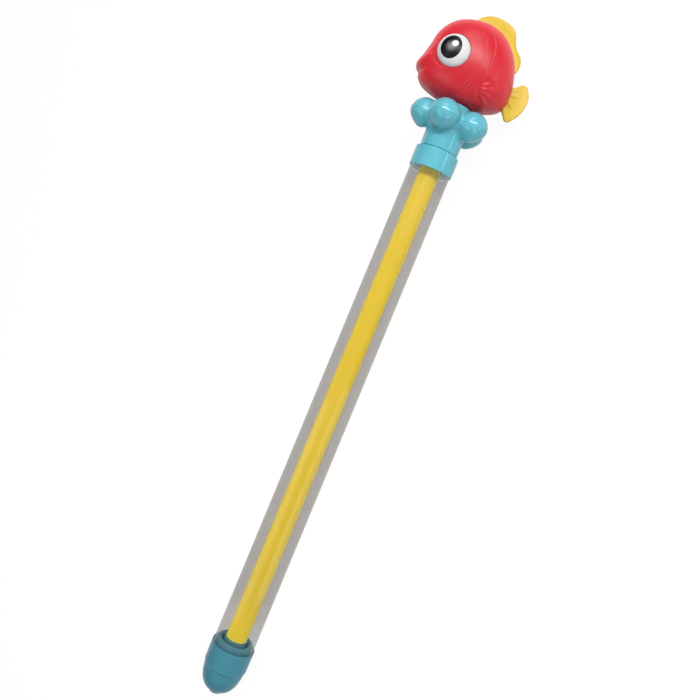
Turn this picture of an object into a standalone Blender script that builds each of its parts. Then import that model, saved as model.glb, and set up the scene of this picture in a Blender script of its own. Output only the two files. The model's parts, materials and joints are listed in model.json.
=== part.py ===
"""Water squirter: a clear tube with a nozzle cap, and a fish-headed plunger that slides and spins in it.

The pieces are drawn upright, with the tube's axis on Z and the jet at the origin. The fish looks along -X
and its left side faces -Y. An empty then lays the whole squirter down on the floor.
"""

import math

import bmesh
import bpy
import numpy as np
from mathutils import Matrix, Vector

MM = 0.001

# Clearances
SEAT_GAP = 0.3 * MM
PRESS_GAP = 0.1 * MM
RUN_GAP = 0.25 * MM
SEAL_GAP = 0.08 * MM
SEAM_GAP = 0.15 * MM

# Clear tube
TUBE_DIAMETER = 28.0 * MM
TUBE_WALL = 1.2 * MM
TUBE_LENGTH = 368.0 * MM

# Nozzle cap
NOSE_HEIGHT = 17.3 * MM
NOSE_STEP = 0.55 * MM
NOSE_WALL = 2.4 * MM
SKIRT_HEIGHT = 16.1 * MM
SKIRT_WALL = 0.85 * MM
SKIRT_TAPER = 0.25 * MM
SOCKET_DEPTH = 13.4 * MM
SHOULDER_WIDTH = 2.5 * MM
JET_BOSS_RADIUS = 4.5 * MM
JET_BOSS_HEIGHT = 2.0 * MM
JET_BOSS_FOOT = 0.5 * MM
JET_RADIUS = 1.4 * MM
GASKET_THICKNESS = 1.2 * MM

# Collar
COLLAR_HEIGHT = 13.7 * MM
COLLAR_WALL = 1.0 * MM
COLLAR_TOP = 2.35 * MM
COLLAR_GUIDE = 9.65 * MM
COLLAR_CHAMFER = 0.6 * MM

# Plunger rod and the plugs in its ends
ROD_DIAMETER = 14.4 * MM
ROD_WALL = 1.5 * MM
PILOT_SLACK = 2.5 * MM
PLUG_FLOOR = 1.7 * MM

# Piston
PISTON_LIFT = 3.0 * MM
PISTON_BASE = 4.5 * MM
PISTON_CHAMFER = 0.6 * MM
RECESS_FLOOR = 0.7 * MM
RECESS_WIDTH = 1.3 * MM
HUB_HEIGHT = 10.8 * MM
HUB_WALL = 0.9 * MM
LIP_DROP = 2.8 * MM
RING_SECTION = 2.2 * MM
RING_LIFT = 1.1 * MM
RING_GROOVE_SLACK = 0.4 * MM

# Coral knob
NECK_RADIUS = 13.2 * MM
NECK_FLARE = 0.8 * MM
NECK_HEIGHT = 11.0 * MM
NECK_WALL = 2.0 * MM
ROD_SOCKET_WALL = 1.9 * MM
LOBE_COUNT = 5
LOBE_CIRCLE = 18.2 * MM
LOBE_RADIUS = 10.4 * MM
LOBE_WALL = 2.0 * MM
CORE_RADIUS = 15.5 * MM
WELL_WALL = 2.7 * MM
WELL_DEPTH = 6.7 * MM
WEB_THICKNESS = 3.0 * MM
WEB_RIB = 2.0 * MM
SEAT_STAND = 1.1 * MM
SEAT_RADIUS = 9.5 * MM
SEAT_FLOOR = 5.7 * MM
COLUMN_RADIUS = 6.5 * MM
POST_RADIUS = 6.0 * MM
FLANGE_RADIUS = 8.6 * MM
FLANGE_THICKNESS = 2.2 * MM

# Fish shells: outline points are forward (-) or back (+) of the axis, and up from the belly
FISH_OUTLINE = [
    (-36.9 * MM, 16.0 * MM),
    (-35.0 * MM, 22.5 * MM),
    (-32.6 * MM, 30.5 * MM),
    (-30.5 * MM, 41.3 * MM),
    (-24.5 * MM, 51.2 * MM),
    (-10.5 * MM, 58.3 * MM),
    (0.0 * MM, 58.7 * MM),
    (9.3 * MM, 56.4 * MM),
    (21.4 * MM, 46.6 * MM),
    (27.9 * MM, 33.3 * MM),
    (30.3 * MM, 20.0 * MM),
    (28.6 * MM, 9.0 * MM),
    (18.6 * MM, 2.6 * MM),
    (0.0 * MM, 0.0 * MM),
    (-21.0 * MM, 1.8 * MM),
    (-31.0 * MM, 7.0 * MM),
    (-33.6 * MM, 10.6 * MM),
    (-33.3 * MM, 13.0 * MM),
]
FISH_MIDDLE = (-1.0 * MM, 29.0 * MM)
FISH_HALF_WIDTH = 24.5 * MM
FISH_FULLNESS = 2.2
FISH_WALL = 2.0 * MM
FISH_FLOOR = 4.2 * MM
FLOOR_RADIUS = 10.4 * MM
PECTORAL_PLACE = (15.7 * MM, 9.5 * MM)
PECTORAL_LENGTH = 14.0 * MM
PECTORAL_DEPTH = 13.0 * MM
PECTORAL_RELIEF = 2.4 * MM

# Eyes
EYE_PLACE = (-16.0 * MM, 27.3 * MM)
EYE_DIAMETER = 22.1 * MM
EYE_DOME = 6.3 * MM
EYE_SINK = 1.8 * MM
EYE_EDGE = 2.2 * MM
EYE_TOE_IN = math.radians(14.0)
EYE_PAD_WALL = 2.0 * MM
EYE_PEG_RADIUS = 3.5 * MM
EYE_PEG_LENGTH = 5.0 * MM

# Fins: outlines in the fish's own measure, with the tab that the shells hold
FIN_THICKNESS = 4.5 * MM
FIN_ROUNDING = 1.0 * MM
DORSAL_OUTLINE = [
    (-9.3 * MM, 60.2 * MM),
    (-5.7 * MM, 63.7 * MM),
    (0.0 * MM, 66.2 * MM),
    (6.4 * MM, 66.6 * MM),
    (12.9 * MM, 64.8 * MM),
    (17.1 * MM, 61.6 * MM),
    (20.4 * MM, 53.7 * MM),
    (22.1 * MM, 51.6 * MM),
    (27.9 * MM, 45.2 * MM),
    (28.9 * MM, 40.9 * MM),
    (27.5 * MM, 35.5 * MM),
    (24.5 * MM, 35.0 * MM),
    (16.0 * MM, 42.5 * MM),
    (9.5 * MM, 41.0 * MM),
    (2.0 * MM, 41.5 * MM),
    (0.5 * MM, 47.5 * MM),
    (-8.0 * MM, 55.0 * MM),
]
TAIL_OUTLINE = [
    (30.7 * MM, 26.2 * MM),
    (37.1 * MM, 30.5 * MM),
    (42.1 * MM, 25.2 * MM),
    (43.0 * MM, 20.2 * MM),
    (42.1 * MM, 13.7 * MM),
    (39.3 * MM, 8.0 * MM),
    (34.8 * MM, 3.8 * MM),
    (30.7 * MM, 6.6 * MM),
    (28.2 * MM, 9.6 * MM),
    (24.0 * MM, 12.2 * MM),
    (17.3 * MM, 12.7 * MM),
    (17.3 * MM, 24.3 * MM),
    (24.0 * MM, 24.9 * MM),
]

# Fasteners
SCREW_PLACES = {
    "front": (-24.0 * MM, 13.5 * MM),
    "top": (6.0 * MM, 47.5 * MM),
    "rear": (22.0 * MM, 18.5 * MM),
}
BOSS_RADIUS = 3.2 * MM
WELL_RADIUS = 3.0 * MM
WELL_SEAT = 1.4 * MM
SHELL_SCREW_HEAD = 2.7 * MM
SHELL_SCREW_HEAD_HEIGHT = 1.8 * MM
SHELL_SCREW_SHANK = 1.3 * MM
SHELL_SCREW_LENGTH = 13.0 * MM
HANDLE_SCREW_HEAD = 3.4 * MM
HANDLE_SCREW_HEAD_HEIGHT = 2.4 * MM
HANDLE_SCREW_SHANK = 1.75 * MM
HANDLE_SCREW_LENGTH = 24.0 * MM
HANDLE_SCREW_SEAT = 9.0 * MM
PISTON_SCREW_HEAD = 4.0 * MM
PISTON_SCREW_HEAD_HEIGHT = 1.4 * MM
PISTON_SCREW_SHANK = 1.6 * MM
PISTON_SCREW_LENGTH = 14.0 * MM
WASHER_RADIUS = 4.6 * MM
WASHER_THICKNESS = 0.6 * MM
RECESS_BITE = 0.55
RECESS_SLOT = 0.3
SCREW_TIP = 1.5 * MM

# Facets round a circle
ROUND_STEPS = 32
PLUG_STEPS = 24
SMALL_STEPS = 16
LOBE_STEPS = (16, 9)
LOBE_HOLLOW_STEPS = (10, 5)
FISH_STEPS = (44, 13)
FISH_HOLLOW_STEPS = (18, 7)
PECTORAL_STEPS = (12, 7)
NOSE_POINTS = 7
CHAMBER_POINTS = 5
LIP_POINTS = 6
RING_POINTS = 8
EYE_POINTS = 6
CUTTER_REACH = 60.0 * MM
MERGE_DISTANCE = 0.001 * MM
SHARP_ANGLE = math.radians(35.0)
FIN_EDGE_ANGLE = math.radians(60.0)

# Radii and heights that follow from the sizes above
TUBE_RADIUS = TUBE_DIAMETER / 2
TUBE_BORE = TUBE_RADIUS - TUBE_WALL
ROD_RADIUS = ROD_DIAMETER / 2
ROD_BORE = ROD_RADIUS - ROD_WALL
CAP_SOCKET = TUBE_RADIUS + PRESS_GAP
CAP_RIM = CAP_SOCKET + SKIRT_WALL
CAP_STEP = CAP_RIM - SKIRT_TAPER
CAP_RIM_Z = NOSE_HEIGHT + SKIRT_HEIGHT
SHOULDER_Z = CAP_RIM_Z - SOCKET_DEPTH
CHAMBER = CAP_SOCKET - SHOULDER_WIDTH
TUBE_FOOT_Z = SHOULDER_Z + GASKET_THICKNESS + 2 * PRESS_GAP
TUBE_HEAD_Z = TUBE_FOOT_Z + TUBE_LENGTH
COLLAR_TOP_Z = TUBE_HEAD_Z + PRESS_GAP + COLLAR_TOP
COLLAR_FOOT_Z = COLLAR_TOP_Z - COLLAR_HEIGHT
GUIDE_FOOT_Z = COLLAR_TOP_Z - COLLAR_TOP - COLLAR_GUIDE
PISTON_FOOT_Z = SHOULDER_Z + PISTON_LIFT
PISTON_SOCKET_Z = PISTON_FOOT_Z + PISTON_BASE
HUB_TOP_Z = PISTON_SOCKET_Z + HUB_HEIGHT
LIP_TOP_Z = HUB_TOP_Z - LIP_DROP
ROD_FOOT_Z = PISTON_SOCKET_Z + PRESS_GAP
NECK_FOOT_Z = COLLAR_TOP_Z + SEAT_GAP
CORAL_Z = NECK_FOOT_Z + NECK_HEIGHT + LOBE_RADIUS
WEB_TOP_Z = CORAL_Z - WELL_DEPTH
WEB_FOOT_Z = WEB_TOP_Z - WEB_THICKNESS
ROD_HEAD_Z = WEB_FOOT_Z - PRESS_GAP
SEAT_Z = CORAL_Z + LOBE_RADIUS + SEAT_STAND
BELLY_Z = SEAT_Z + SEAT_GAP
FISH_FLOOR_Z = BELLY_Z + FISH_FLOOR
HANDLE_SEAT_Z = WEB_TOP_Z + HANDLE_SCREW_SEAT
PISTON_SCREW_Z = PISTON_FOOT_Z + PISTON_SCREW_HEAD_HEIGHT
FOOT_PILOT_Z = PISTON_SCREW_Z + PISTON_SCREW_LENGTH + PILOT_SLACK
FOOT_PLUG_Z = FOOT_PILOT_Z + PLUG_FLOOR
HANDLE_SCREW_Z = HANDLE_SEAT_Z + PRESS_GAP
HEAD_PILOT_Z = HANDLE_SCREW_Z - HANDLE_SCREW_LENGTH - PILOT_SLACK
HEAD_PLUG_Z = HEAD_PILOT_Z - PLUG_FLOOR
SCREW_SEAT_Y = FIN_THICKNESS / 2 + SEAM_GAP + WELL_SEAT

PARTS = "water_squirter"
CUTTERS = "cutters"


# Scene

def clear_scene():
    """Removes what the scene holds and makes the two collections."""
    for obj in list(bpy.data.objects):
        bpy.data.objects.remove(obj, do_unlink=True)
    for name in (PARTS, CUTTERS):
        collection = bpy.data.collections.new(name)
        bpy.context.scene.collection.children.link(collection)


def linked(name, data, collection):
    """A new object of this data in the named collection."""
    obj = bpy.data.objects.new(name, data)
    bpy.data.collections[collection].objects.link(obj)
    return obj


def empty(name, parent=None):
    """An empty at its parent's origin, on the tube's axis."""
    obj = linked(name, None, PARTS)
    obj.parent = parent
    return obj


def as_cutter(obj):
    """Marks a helper solid that only cuts or joins."""
    obj.hide_render = True
    obj.display_type = "WIRE"
    return obj


def plastic(name, colour, roughness, metallic=0.0, alpha=1.0):
    """A Principled material of one linear colour."""
    material = bpy.data.materials.new(name)
    material.use_nodes = True
    shader = material.node_tree.nodes["Principled BSDF"]
    shader.inputs["Base Color"].default_value = (*colour, 1.0)
    shader.inputs["Roughness"].default_value = roughness
    shader.inputs["Metallic"].default_value = metallic
    shader.inputs["Alpha"].default_value = alpha
    return material


def finish(obj, material):
    """Gives a part its material and smooth shading."""
    obj.data.materials.clear()
    obj.data.materials.append(material)
    obj.data.shade_smooth()
    obj.data.set_sharp_from_angle(angle=SHARP_ANGLE)
    return obj


# Shapes

def turned(name, profile, steps=ROUND_STEPS, closed=True, collection=PARTS):
    """A solid of revolution about Z. The profile runs down its outer side; an open one ends on the axis."""
    mesh = bpy.data.meshes.new(name)
    points = [(radius, 0.0, height) for radius, height in profile]
    edges = [(i, i + 1) for i in range(len(points) - 1)]
    if closed:
        edges.append((len(points) - 1, 0))
    mesh.from_pydata(points, edges, [])
    obj = linked(name, mesh, collection)
    screw = obj.modifiers.new("turn", "SCREW")
    screw.axis = "Z"
    screw.steps = steps
    screw.render_steps = steps
    screw.use_merge_vertices = True
    screw.merge_threshold = MERGE_DISTANCE
    screw.use_smooth_shade = True
    return obj


def solid(name, bm, collection):
    """An object from a bmesh, which is freed."""
    mesh = bpy.data.meshes.new(name)
    bm.to_mesh(mesh)
    bm.free()
    return linked(name, mesh, collection)


def round_bar(name, radius, start, end, steps=SMALL_STEPS, collection=CUTTERS):
    """A cylinder between two points."""
    start = Vector(start)
    end = Vector(end)
    turn = (end - start).to_track_quat("Z", "Y").to_matrix().to_4x4()
    bm = bmesh.new()
    bmesh.ops.create_cone(
        bm,
        cap_ends=True,
        segments=steps,
        radius1=radius,
        radius2=radius,
        depth=(end - start).length,
        matrix=Matrix.Translation((start + end) / 2) @ turn,
    )
    return as_cutter(solid(name, bm, collection))


def upright_bar(name, radius, low_z, high_z, steps=ROUND_STEPS):
    """A cylinder on the tube's axis."""
    return round_bar(name, radius, (0.0, 0.0, low_z), (0.0, 0.0, high_z), steps)


def block(name, low, high):
    """A box between two corners."""
    low = Vector(low)
    high = Vector(high)
    bm = bmesh.new()
    size = Matrix.Diagonal((*(high - low), 1.0))
    bmesh.ops.create_cube(bm, size=1.0, matrix=Matrix.Translation((low + high) / 2) @ size)
    return as_cutter(solid(name, bm, CUTTERS))


def join_or_cut(obj, other, operation):
    """Adds a Boolean that stays live on the object."""
    boolean = obj.modifiers.new(other.name, "BOOLEAN")
    boolean.operation = operation
    boolean.solver = "EXACT"
    boolean.use_self = True
    boolean.object = other
    return obj


def cut(obj, *cutters):
    """Takes each cutter out of the object."""
    for cutter in cutters:
        join_or_cut(obj, cutter, "DIFFERENCE")
    return obj


def arc(centre, radius, start, end, count):
    """Points on a circle in the profile plane, from one angle in degrees to another."""
    angles = np.radians(np.linspace(start, end, count))
    return [(centre[0] + radius * math.cos(a), centre[1] + radius * math.sin(a)) for a in angles]


def dome(rim, tip, count):
    """A quarter ellipse from a rim down to a tip, each given as radius and height."""
    angles = np.linspace(0.0, math.pi / 2, count)
    return [
        (tip[0] + (rim[0] - tip[0]) * math.cos(a), rim[1] + (tip[1] - rim[1]) * math.sin(a))
        for a in angles
    ]


# Barrel

def barrel_tube(material):
    """The clear tube."""
    profile = [
        (TUBE_RADIUS, TUBE_HEAD_Z),
        (TUBE_RADIUS, TUBE_FOOT_Z),
        (TUBE_BORE, TUBE_FOOT_Z),
        (TUBE_BORE, TUBE_HEAD_Z),
    ]
    return finish(turned("barrel_tube", profile), material)


def nozzle_cap(material):
    """The cap on the tube's foot: a socket, a stepped domed nose and a jet boss."""
    nose = (CAP_STEP - NOSE_STEP, NOSE_HEIGHT - NOSE_STEP)
    boss_root = (JET_BOSS_RADIUS + JET_BOSS_FOOT, JET_BOSS_HEIGHT)
    chamber_floor = (JET_RADIUS, JET_BOSS_HEIGHT + NOSE_WALL)
    profile = [(CAP_RIM, CAP_RIM_Z), (CAP_STEP, NOSE_HEIGHT)]
    profile += dome(nose, boss_root, NOSE_POINTS)
    profile += [(JET_BOSS_RADIUS, JET_BOSS_HEIGHT), (JET_BOSS_RADIUS, 0.0), (JET_RADIUS, 0.0)]
    profile += dome((CHAMBER, SHOULDER_Z), chamber_floor, CHAMBER_POINTS)[::-1]
    profile += [(CAP_SOCKET, SHOULDER_Z), (CAP_SOCKET, CAP_RIM_Z)]
    return finish(turned("nozzle_cap", profile), material)


def nozzle_gasket(material):
    """The flat ring between the tube's foot and the cap's shoulder."""
    foot = SHOULDER_Z + PRESS_GAP
    head = foot + GASKET_THICKNESS
    profile = [(TUBE_RADIUS, head), (TUBE_RADIUS, foot), (TUBE_BORE, foot), (TUBE_BORE, head)]
    return finish(turned("nozzle_gasket", profile), material)


def collar(material):
    """The cap on the tube's head, with the sleeve that guides the rod."""
    outer = TUBE_RADIUS + PRESS_GAP + COLLAR_WALL
    ceiling = COLLAR_TOP_Z - COLLAR_TOP
    guide = TUBE_BORE - PRESS_GAP
    bore = ROD_RADIUS + RUN_GAP
    profile = [
        (outer - COLLAR_CHAMFER, COLLAR_TOP_Z),
        (outer, COLLAR_TOP_Z - COLLAR_CHAMFER),
        (outer, COLLAR_FOOT_Z),
        (TUBE_RADIUS + PRESS_GAP, COLLAR_FOOT_Z),
        (TUBE_RADIUS + PRESS_GAP, ceiling),
        (guide, ceiling),
        (guide, GUIDE_FOOT_Z + COLLAR_CHAMFER),
        (guide - COLLAR_CHAMFER, GUIDE_FOOT_Z),
        (bore, GUIDE_FOOT_Z),
        (bore, COLLAR_TOP_Z),
    ]
    return finish(turned("collar", profile), material)


# Piston

def piston(material):
    """The piston: a skirt with a rounded lip and a ring groove, and the hub that the rod sits in."""
    skirt = TUBE_BORE - RUN_GAP
    socket = ROD_RADIUS + PRESS_GAP
    hub = socket + HUB_WALL
    lip_inner = hub + RECESS_WIDTH
    lip = (skirt - lip_inner) / 2
    groove_floor = TUBE_BORE - SEAL_GAP - RING_SECTION - PRESS_GAP
    groove_foot = PISTON_FOOT_Z + RING_LIFT
    groove_head = groove_foot + RING_SECTION + RING_GROOVE_SLACK
    recess = PISTON_SOCKET_Z + RECESS_FLOOR
    screw_hole = PISTON_SCREW_SHANK + RUN_GAP
    screw_well = WASHER_RADIUS + RUN_GAP
    well_head = PISTON_SCREW_Z + WASHER_THICKNESS + 2 * PRESS_GAP
    profile = arc((lip_inner + lip, LIP_TOP_Z - lip), lip, 180, 0, LIP_POINTS)
    profile += [
        (skirt, groove_head),
        (groove_floor, groove_head),
        (groove_floor, groove_foot),
        (skirt, groove_foot),
        (skirt, PISTON_FOOT_Z + PISTON_CHAMFER),
        (skirt - PISTON_CHAMFER, PISTON_FOOT_Z),
        (screw_well, PISTON_FOOT_Z),
        (screw_well, well_head),
        (screw_hole, well_head),
        (screw_hole, PISTON_SOCKET_Z),
        (socket, PISTON_SOCKET_Z),
        (socket, HUB_TOP_Z),
        (hub, HUB_TOP_Z),
        (hub, recess),
        (lip_inner, recess),
    ]
    return finish(turned("piston", profile), material)


def piston_o_ring(material):
    """The seal in the piston's groove."""
    section = RING_SECTION / 2
    middle = TUBE_BORE - SEAL_GAP - section
    height = PISTON_FOOT_Z + RING_LIFT + section + RING_GROOVE_SLACK / 2
    step = 360.0 / RING_POINTS
    profile = arc((middle, height), section, 90.0, step - 270.0, RING_POINTS)
    return finish(turned("piston_o_ring", profile), material)


# Rod and its fasteners

def plunger_rod(material):
    """The hollow rod from the piston's hub to the coral knob's web."""
    profile = [
        (ROD_RADIUS, ROD_HEAD_Z),
        (ROD_RADIUS, ROD_FOOT_Z),
        (ROD_BORE, ROD_FOOT_Z),
        (ROD_BORE, ROD_HEAD_Z),
    ]
    return finish(turned("plunger_rod", profile), material)


def rod_plug(name, end, pilot_end, far, shank, material):
    """A plug from the rod's end to its far face, with a blind pilot hole for the screw at the end."""
    radius = ROD_BORE - PRESS_GAP
    hole = shank + PRESS_GAP
    profile = [
        (0.0, pilot_end),
        (hole, pilot_end),
        (hole, end),
        (radius, end),
        (radius, far),
        (0.0, far),
    ]
    if far > end:
        profile.reverse()
    return finish(turned(name, profile, PLUG_STEPS, closed=False), material)


def self_tapper(name, head, height, shank, length, place, material):
    """A pan-head screw with a cross recess. Its seat is at its origin and it points along -Z."""
    profile = [
        (0.0, height),
        (head - height / 2, height),
        (head, height / 2),
        (head, 0.0),
        (shank, 0.0),
        (shank, SCREW_TIP - length),
        (0.0, -length),
    ]
    screw = turned(name, profile, SMALL_STEPS, closed=False)
    screw.matrix_basis = place
    arm = head * RECESS_BITE
    slot = head * RECESS_SLOT / 2
    floor = height * (1.0 - RECESS_BITE)
    for axis, size in (("x", (arm, slot)), ("y", (slot, arm))):
        bar = block(f"{name}_recess_{axis}", (-size[0], -size[1], floor), (size[0], size[1], 2 * height))
        bar.matrix_basis = place
        cut(screw, bar)
    return finish(screw, material)


def washer(material):
    """The washer under the piston screw's head."""
    foot = PISTON_SCREW_Z + PRESS_GAP
    head = foot + WASHER_THICKNESS
    hole = PISTON_SCREW_SHANK + PRESS_GAP
    profile = [(WASHER_RADIUS, head), (WASHER_RADIUS, foot), (hole, foot), (hole, head)]
    return finish(turned("piston_washer", profile, PLUG_STEPS), material)


# Coral knob

def lobe_angle(index):
    """The direction of a lobe round the axis. Lobe 0 lies under the fish's chin."""
    return math.pi + 2.0 * math.pi * index / LOBE_COUNT


def lobes(name, radius, steps):
    """The ring of balls, or of the hollows inside them."""
    bm = bmesh.new()
    for index in range(LOBE_COUNT):
        angle = lobe_angle(index)
        centre = (LOBE_CIRCLE * math.cos(angle), LOBE_CIRCLE * math.sin(angle), CORAL_Z)
        bmesh.ops.create_uvsphere(
            bm,
            u_segments=steps[0],
            v_segments=steps[1],
            radius=radius,
            matrix=Matrix.Translation(centre) @ Matrix.Rotation(angle, 4, "Z"),
        )
    return as_cutter(solid(name, bm, CUTTERS))


def half_space(name, low_z, high_z):
    """A block that takes one side of the lobes' seam away."""
    return block(name, (-CUTTER_REACH, -CUTTER_REACH, low_z), (CUTTER_REACH, CUTTER_REACH, high_z))


def coral_lower(balls, hollows, material):
    """The neck with the lower half of each lobe, and the web that the rod's head meets."""
    seam = CORAL_Z - SEAM_GAP / 2
    socket = ROD_RADIUS + PRESS_GAP
    hole = HANDLE_SCREW_SHANK + PRESS_GAP
    pocket = WEB_FOOT_Z - WEB_RIB
    well = CORE_RADIUS - WELL_WALL
    profile = [
        (CORE_RADIUS, CORAL_Z + SEAM_GAP),
        (CORE_RADIUS, CORAL_Z),
        (NECK_RADIUS + NECK_FLARE, CORAL_Z - LOBE_RADIUS),
        (NECK_RADIUS, NECK_FOOT_Z),
        (NECK_RADIUS - NECK_WALL, NECK_FOOT_Z),
        (NECK_RADIUS - NECK_WALL, pocket),
        (socket + ROD_SOCKET_WALL, pocket),
        (socket + ROD_SOCKET_WALL, NECK_FOOT_Z),
        (socket, NECK_FOOT_Z),
        (socket, WEB_FOOT_Z),
        (hole, WEB_FOOT_Z),
        (hole, CORAL_Z + SEAM_GAP),
    ]
    part = turned("coral_lower", profile)
    join_or_cut(part, balls, "UNION")
    well_bar = upright_bar("coral_well", well, WEB_TOP_Z, CORAL_Z + LOBE_RADIUS)
    cut(part, well_bar, hollows, half_space("above_coral_seam", seam, CORAL_Z + CUTTER_REACH))
    return finish(part, material)


def coral_upper(balls, hollows, material):
    """The upper half of each lobe, the seat under the fish and the post that the fish's shells trap."""
    seam = CORAL_Z + SEAM_GAP / 2
    hole = HANDLE_SCREW_SHANK + PRESS_GAP
    head_well = HANDLE_SCREW_HEAD + RUN_GAP
    flange_foot = FISH_FLOOR_Z + PRESS_GAP
    flange_head = flange_foot + FLANGE_THICKNESS
    ceiling = SEAT_Z - SEAT_FLOOR
    core = [
        (FLANGE_RADIUS, flange_head),
        (FLANGE_RADIUS, flange_foot),
        (POST_RADIUS, flange_foot),
        (POST_RADIUS, SEAT_Z),
        (SEAT_RADIUS, SEAT_Z),
        (CORE_RADIUS, CORAL_Z + LOBE_RADIUS / 2),
        (CORE_RADIUS, WEB_TOP_Z + PRESS_GAP),
        (hole, WEB_TOP_Z + PRESS_GAP),
        (hole, HANDLE_SEAT_Z),
        (head_well, HANDLE_SEAT_Z),
        (head_well, flange_head),
    ]
    part = turned("coral_upper", core)
    join_or_cut(part, balls, "UNION")
    below = half_space("below_coral_seam", CORAL_Z - CUTTER_REACH, seam)
    cut(below, upright_bar("coral_column", COLUMN_RADIUS + SEAM_GAP, WEB_FOOT_Z, SEAT_Z))
    well = CORE_RADIUS - WELL_WALL
    ring = [(well, ceiling), (well, WEB_FOOT_Z), (COLUMN_RADIUS, WEB_FOOT_Z), (COLUMN_RADIUS, ceiling)]
    ring_hollow = as_cutter(turned("coral_ring_hollow", ring, collection=CUTTERS))
    cut(part, ring_hollow, hollows, below)
    return finish(part, material)


# Fish

def fish_radius(angle):
    """Distance from the fish's middle to its outline, on a smooth curve through the outline's points."""
    offsets = np.array(FISH_OUTLINE) - np.array(FISH_MIDDLE)
    angles = np.arctan2(offsets[:, 1], offsets[:, 0])
    order = np.argsort(angles)
    angles = angles[order]
    radii = np.hypot(offsets[:, 0], offsets[:, 1])[order]
    turn = 2.0 * math.pi
    angles = np.concatenate([angles[-3:] - turn, angles, angles[:3] + turn])
    radii = np.concatenate([radii[-3:], radii, radii[:3]])
    slopes = np.gradient(radii, angles)
    left = np.clip(np.searchsorted(angles, angle) - 1, 0, len(angles) - 2)
    span = angles[left + 1] - angles[left]
    t = (angle - angles[left]) / span
    return (
        (2 * t**3 - 3 * t**2 + 1) * radii[left]
        + (t**3 - 2 * t**2 + t) * span * slopes[left]
        + (3 * t**2 - 2 * t**3) * radii[left + 1]
        + (t**3 - t**2) * span * slopes[left + 1]
    )


def flank(share):
    """How much of the half width is left at this share of the way from the middle to the outline."""
    return (1.0 - np.minimum(share, 1.0) ** FISH_FULLNESS) ** (1.0 / FISH_FULLNESS)


def flank_point(place, side):
    """The point of the fish's flank at a place in its outline. Side is -1 on the left and 1 on the right."""
    across = place[0] - FISH_MIDDLE[0]
    up = place[1] - FISH_MIDDLE[1]
    share = math.hypot(across, up) / fish_radius(math.atan2(up, across))
    return Vector((place[0], side * FISH_HALF_WIDTH * flank(share), BELLY_Z + place[1]))


def flank_frame(place, side):
    """A frame on the flank with Z pointing out of the body."""
    step = FISH_WALL / 2
    along = flank_point((place[0] + step, place[1]), side) - flank_point((place[0] - step, place[1]), side)
    up = flank_point((place[0], place[1] + step), side) - flank_point((place[0], place[1] - step), side)
    out = up.cross(along).normalized() * -side
    along.normalize()
    frame = Matrix((along, out.cross(along), out)).transposed().to_4x4()
    return Matrix.Translation(flank_point(place, side)) @ frame


def fish_form(name, inset, steps, collection=CUTTERS):
    """The fish's body, or its hollow: a ball with its poles on the flanks, pulled out to the outline."""
    bm = bmesh.new()
    bmesh.ops.create_uvsphere(bm, u_segments=steps[0], v_segments=steps[1], radius=1.0)
    for vert in bm.verts:
        share = math.hypot(vert.co.x, vert.co.y)
        angle = math.atan2(vert.co.y, vert.co.x)
        reach = (fish_radius(angle) - inset) * share
        width = (FISH_HALF_WIDTH - inset) * flank(share) * math.copysign(1.0, vert.co.z)
        vert.co = (
            FISH_MIDDLE[0] + reach * math.cos(angle),
            -width,
            BELLY_Z + FISH_MIDDLE[1] + reach * math.sin(angle),
        )
    return solid(name, bm, collection)


def pectoral(side, name):
    """The moulded fin on a flank: a flattened ball half sunk in it."""
    bm = bmesh.new()
    size = Matrix.Diagonal((PECTORAL_LENGTH / 2, PECTORAL_DEPTH / 2, PECTORAL_RELIEF, 1.0))
    bmesh.ops.create_uvsphere(
        bm,
        u_segments=PECTORAL_STEPS[0],
        v_segments=PECTORAL_STEPS[1],
        radius=1.0,
        matrix=flank_frame(PECTORAL_PLACE, side) @ size,
    )
    return as_cutter(solid(name, bm, CUTTERS))


def eye_frame(side):
    """The eye's own frame: Z out along its axis, turned a little to the front."""
    out = Vector((-math.sin(EYE_TOE_IN), side * math.cos(EYE_TOE_IN), 0.0))
    turn = out.to_track_quat("Z", "Y").to_matrix().to_4x4()
    return Matrix.Translation(flank_point(EYE_PLACE, side)) @ turn


def eye(name, side, material):
    """A dome with a flat back and a peg."""
    radius = EYE_DIAMETER / 2
    back = -EYE_SINK - EYE_EDGE
    profile = dome((radius, -EYE_SINK), (0.0, EYE_DOME - EYE_SINK), EYE_POINTS)[::-1]
    profile += [
        (radius, back),
        (EYE_PEG_RADIUS, back),
        (EYE_PEG_RADIUS, back - EYE_PEG_LENGTH),
        (0.0, back - EYE_PEG_LENGTH),
    ]
    part = turned(name, profile, PLUG_STEPS, closed=False)
    part.matrix_basis = eye_frame(side)
    return finish(part, material)


def eye_pocket(side, name):
    """What a shell loses for the eye: its pocket and the peg's hole."""
    back = -EYE_SINK - EYE_EDGE - PRESS_GAP
    radius = EYE_DIAMETER / 2 + PRESS_GAP
    peg = EYE_PEG_RADIUS + PRESS_GAP
    far = back - EYE_PEG_LENGTH - FISH_WALL
    profile = [
        (0.0, EYE_DIAMETER),
        (radius, EYE_DIAMETER),
        (radius, back),
        (peg, back),
        (peg, far),
        (0.0, far),
    ]
    pocket = turned(name, profile, PLUG_STEPS, closed=False, collection=CUTTERS)
    pocket.matrix_basis = eye_frame(side)
    return as_cutter(pocket)


def eye_pad(side, name):
    """The thick patch of a shell that the eye's pocket is sunk in."""
    back = -EYE_SINK - EYE_EDGE - PRESS_GAP - EYE_PAD_WALL
    radius = EYE_DIAMETER / 2 + PRESS_GAP + EYE_PAD_WALL
    pad = upright_bar(name, radius, back, EYE_DIAMETER, PLUG_STEPS)
    pad.matrix_basis = eye_frame(side)
    return pad


def across_fish(name, radius, place, low_y, high_y, steps=SMALL_STEPS):
    """A round bar across the fish at a place in its outline."""
    height = BELLY_Z + place[1]
    return round_bar(name, radius, (place[0], low_y, height), (place[0], high_y, height), steps)


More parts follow.
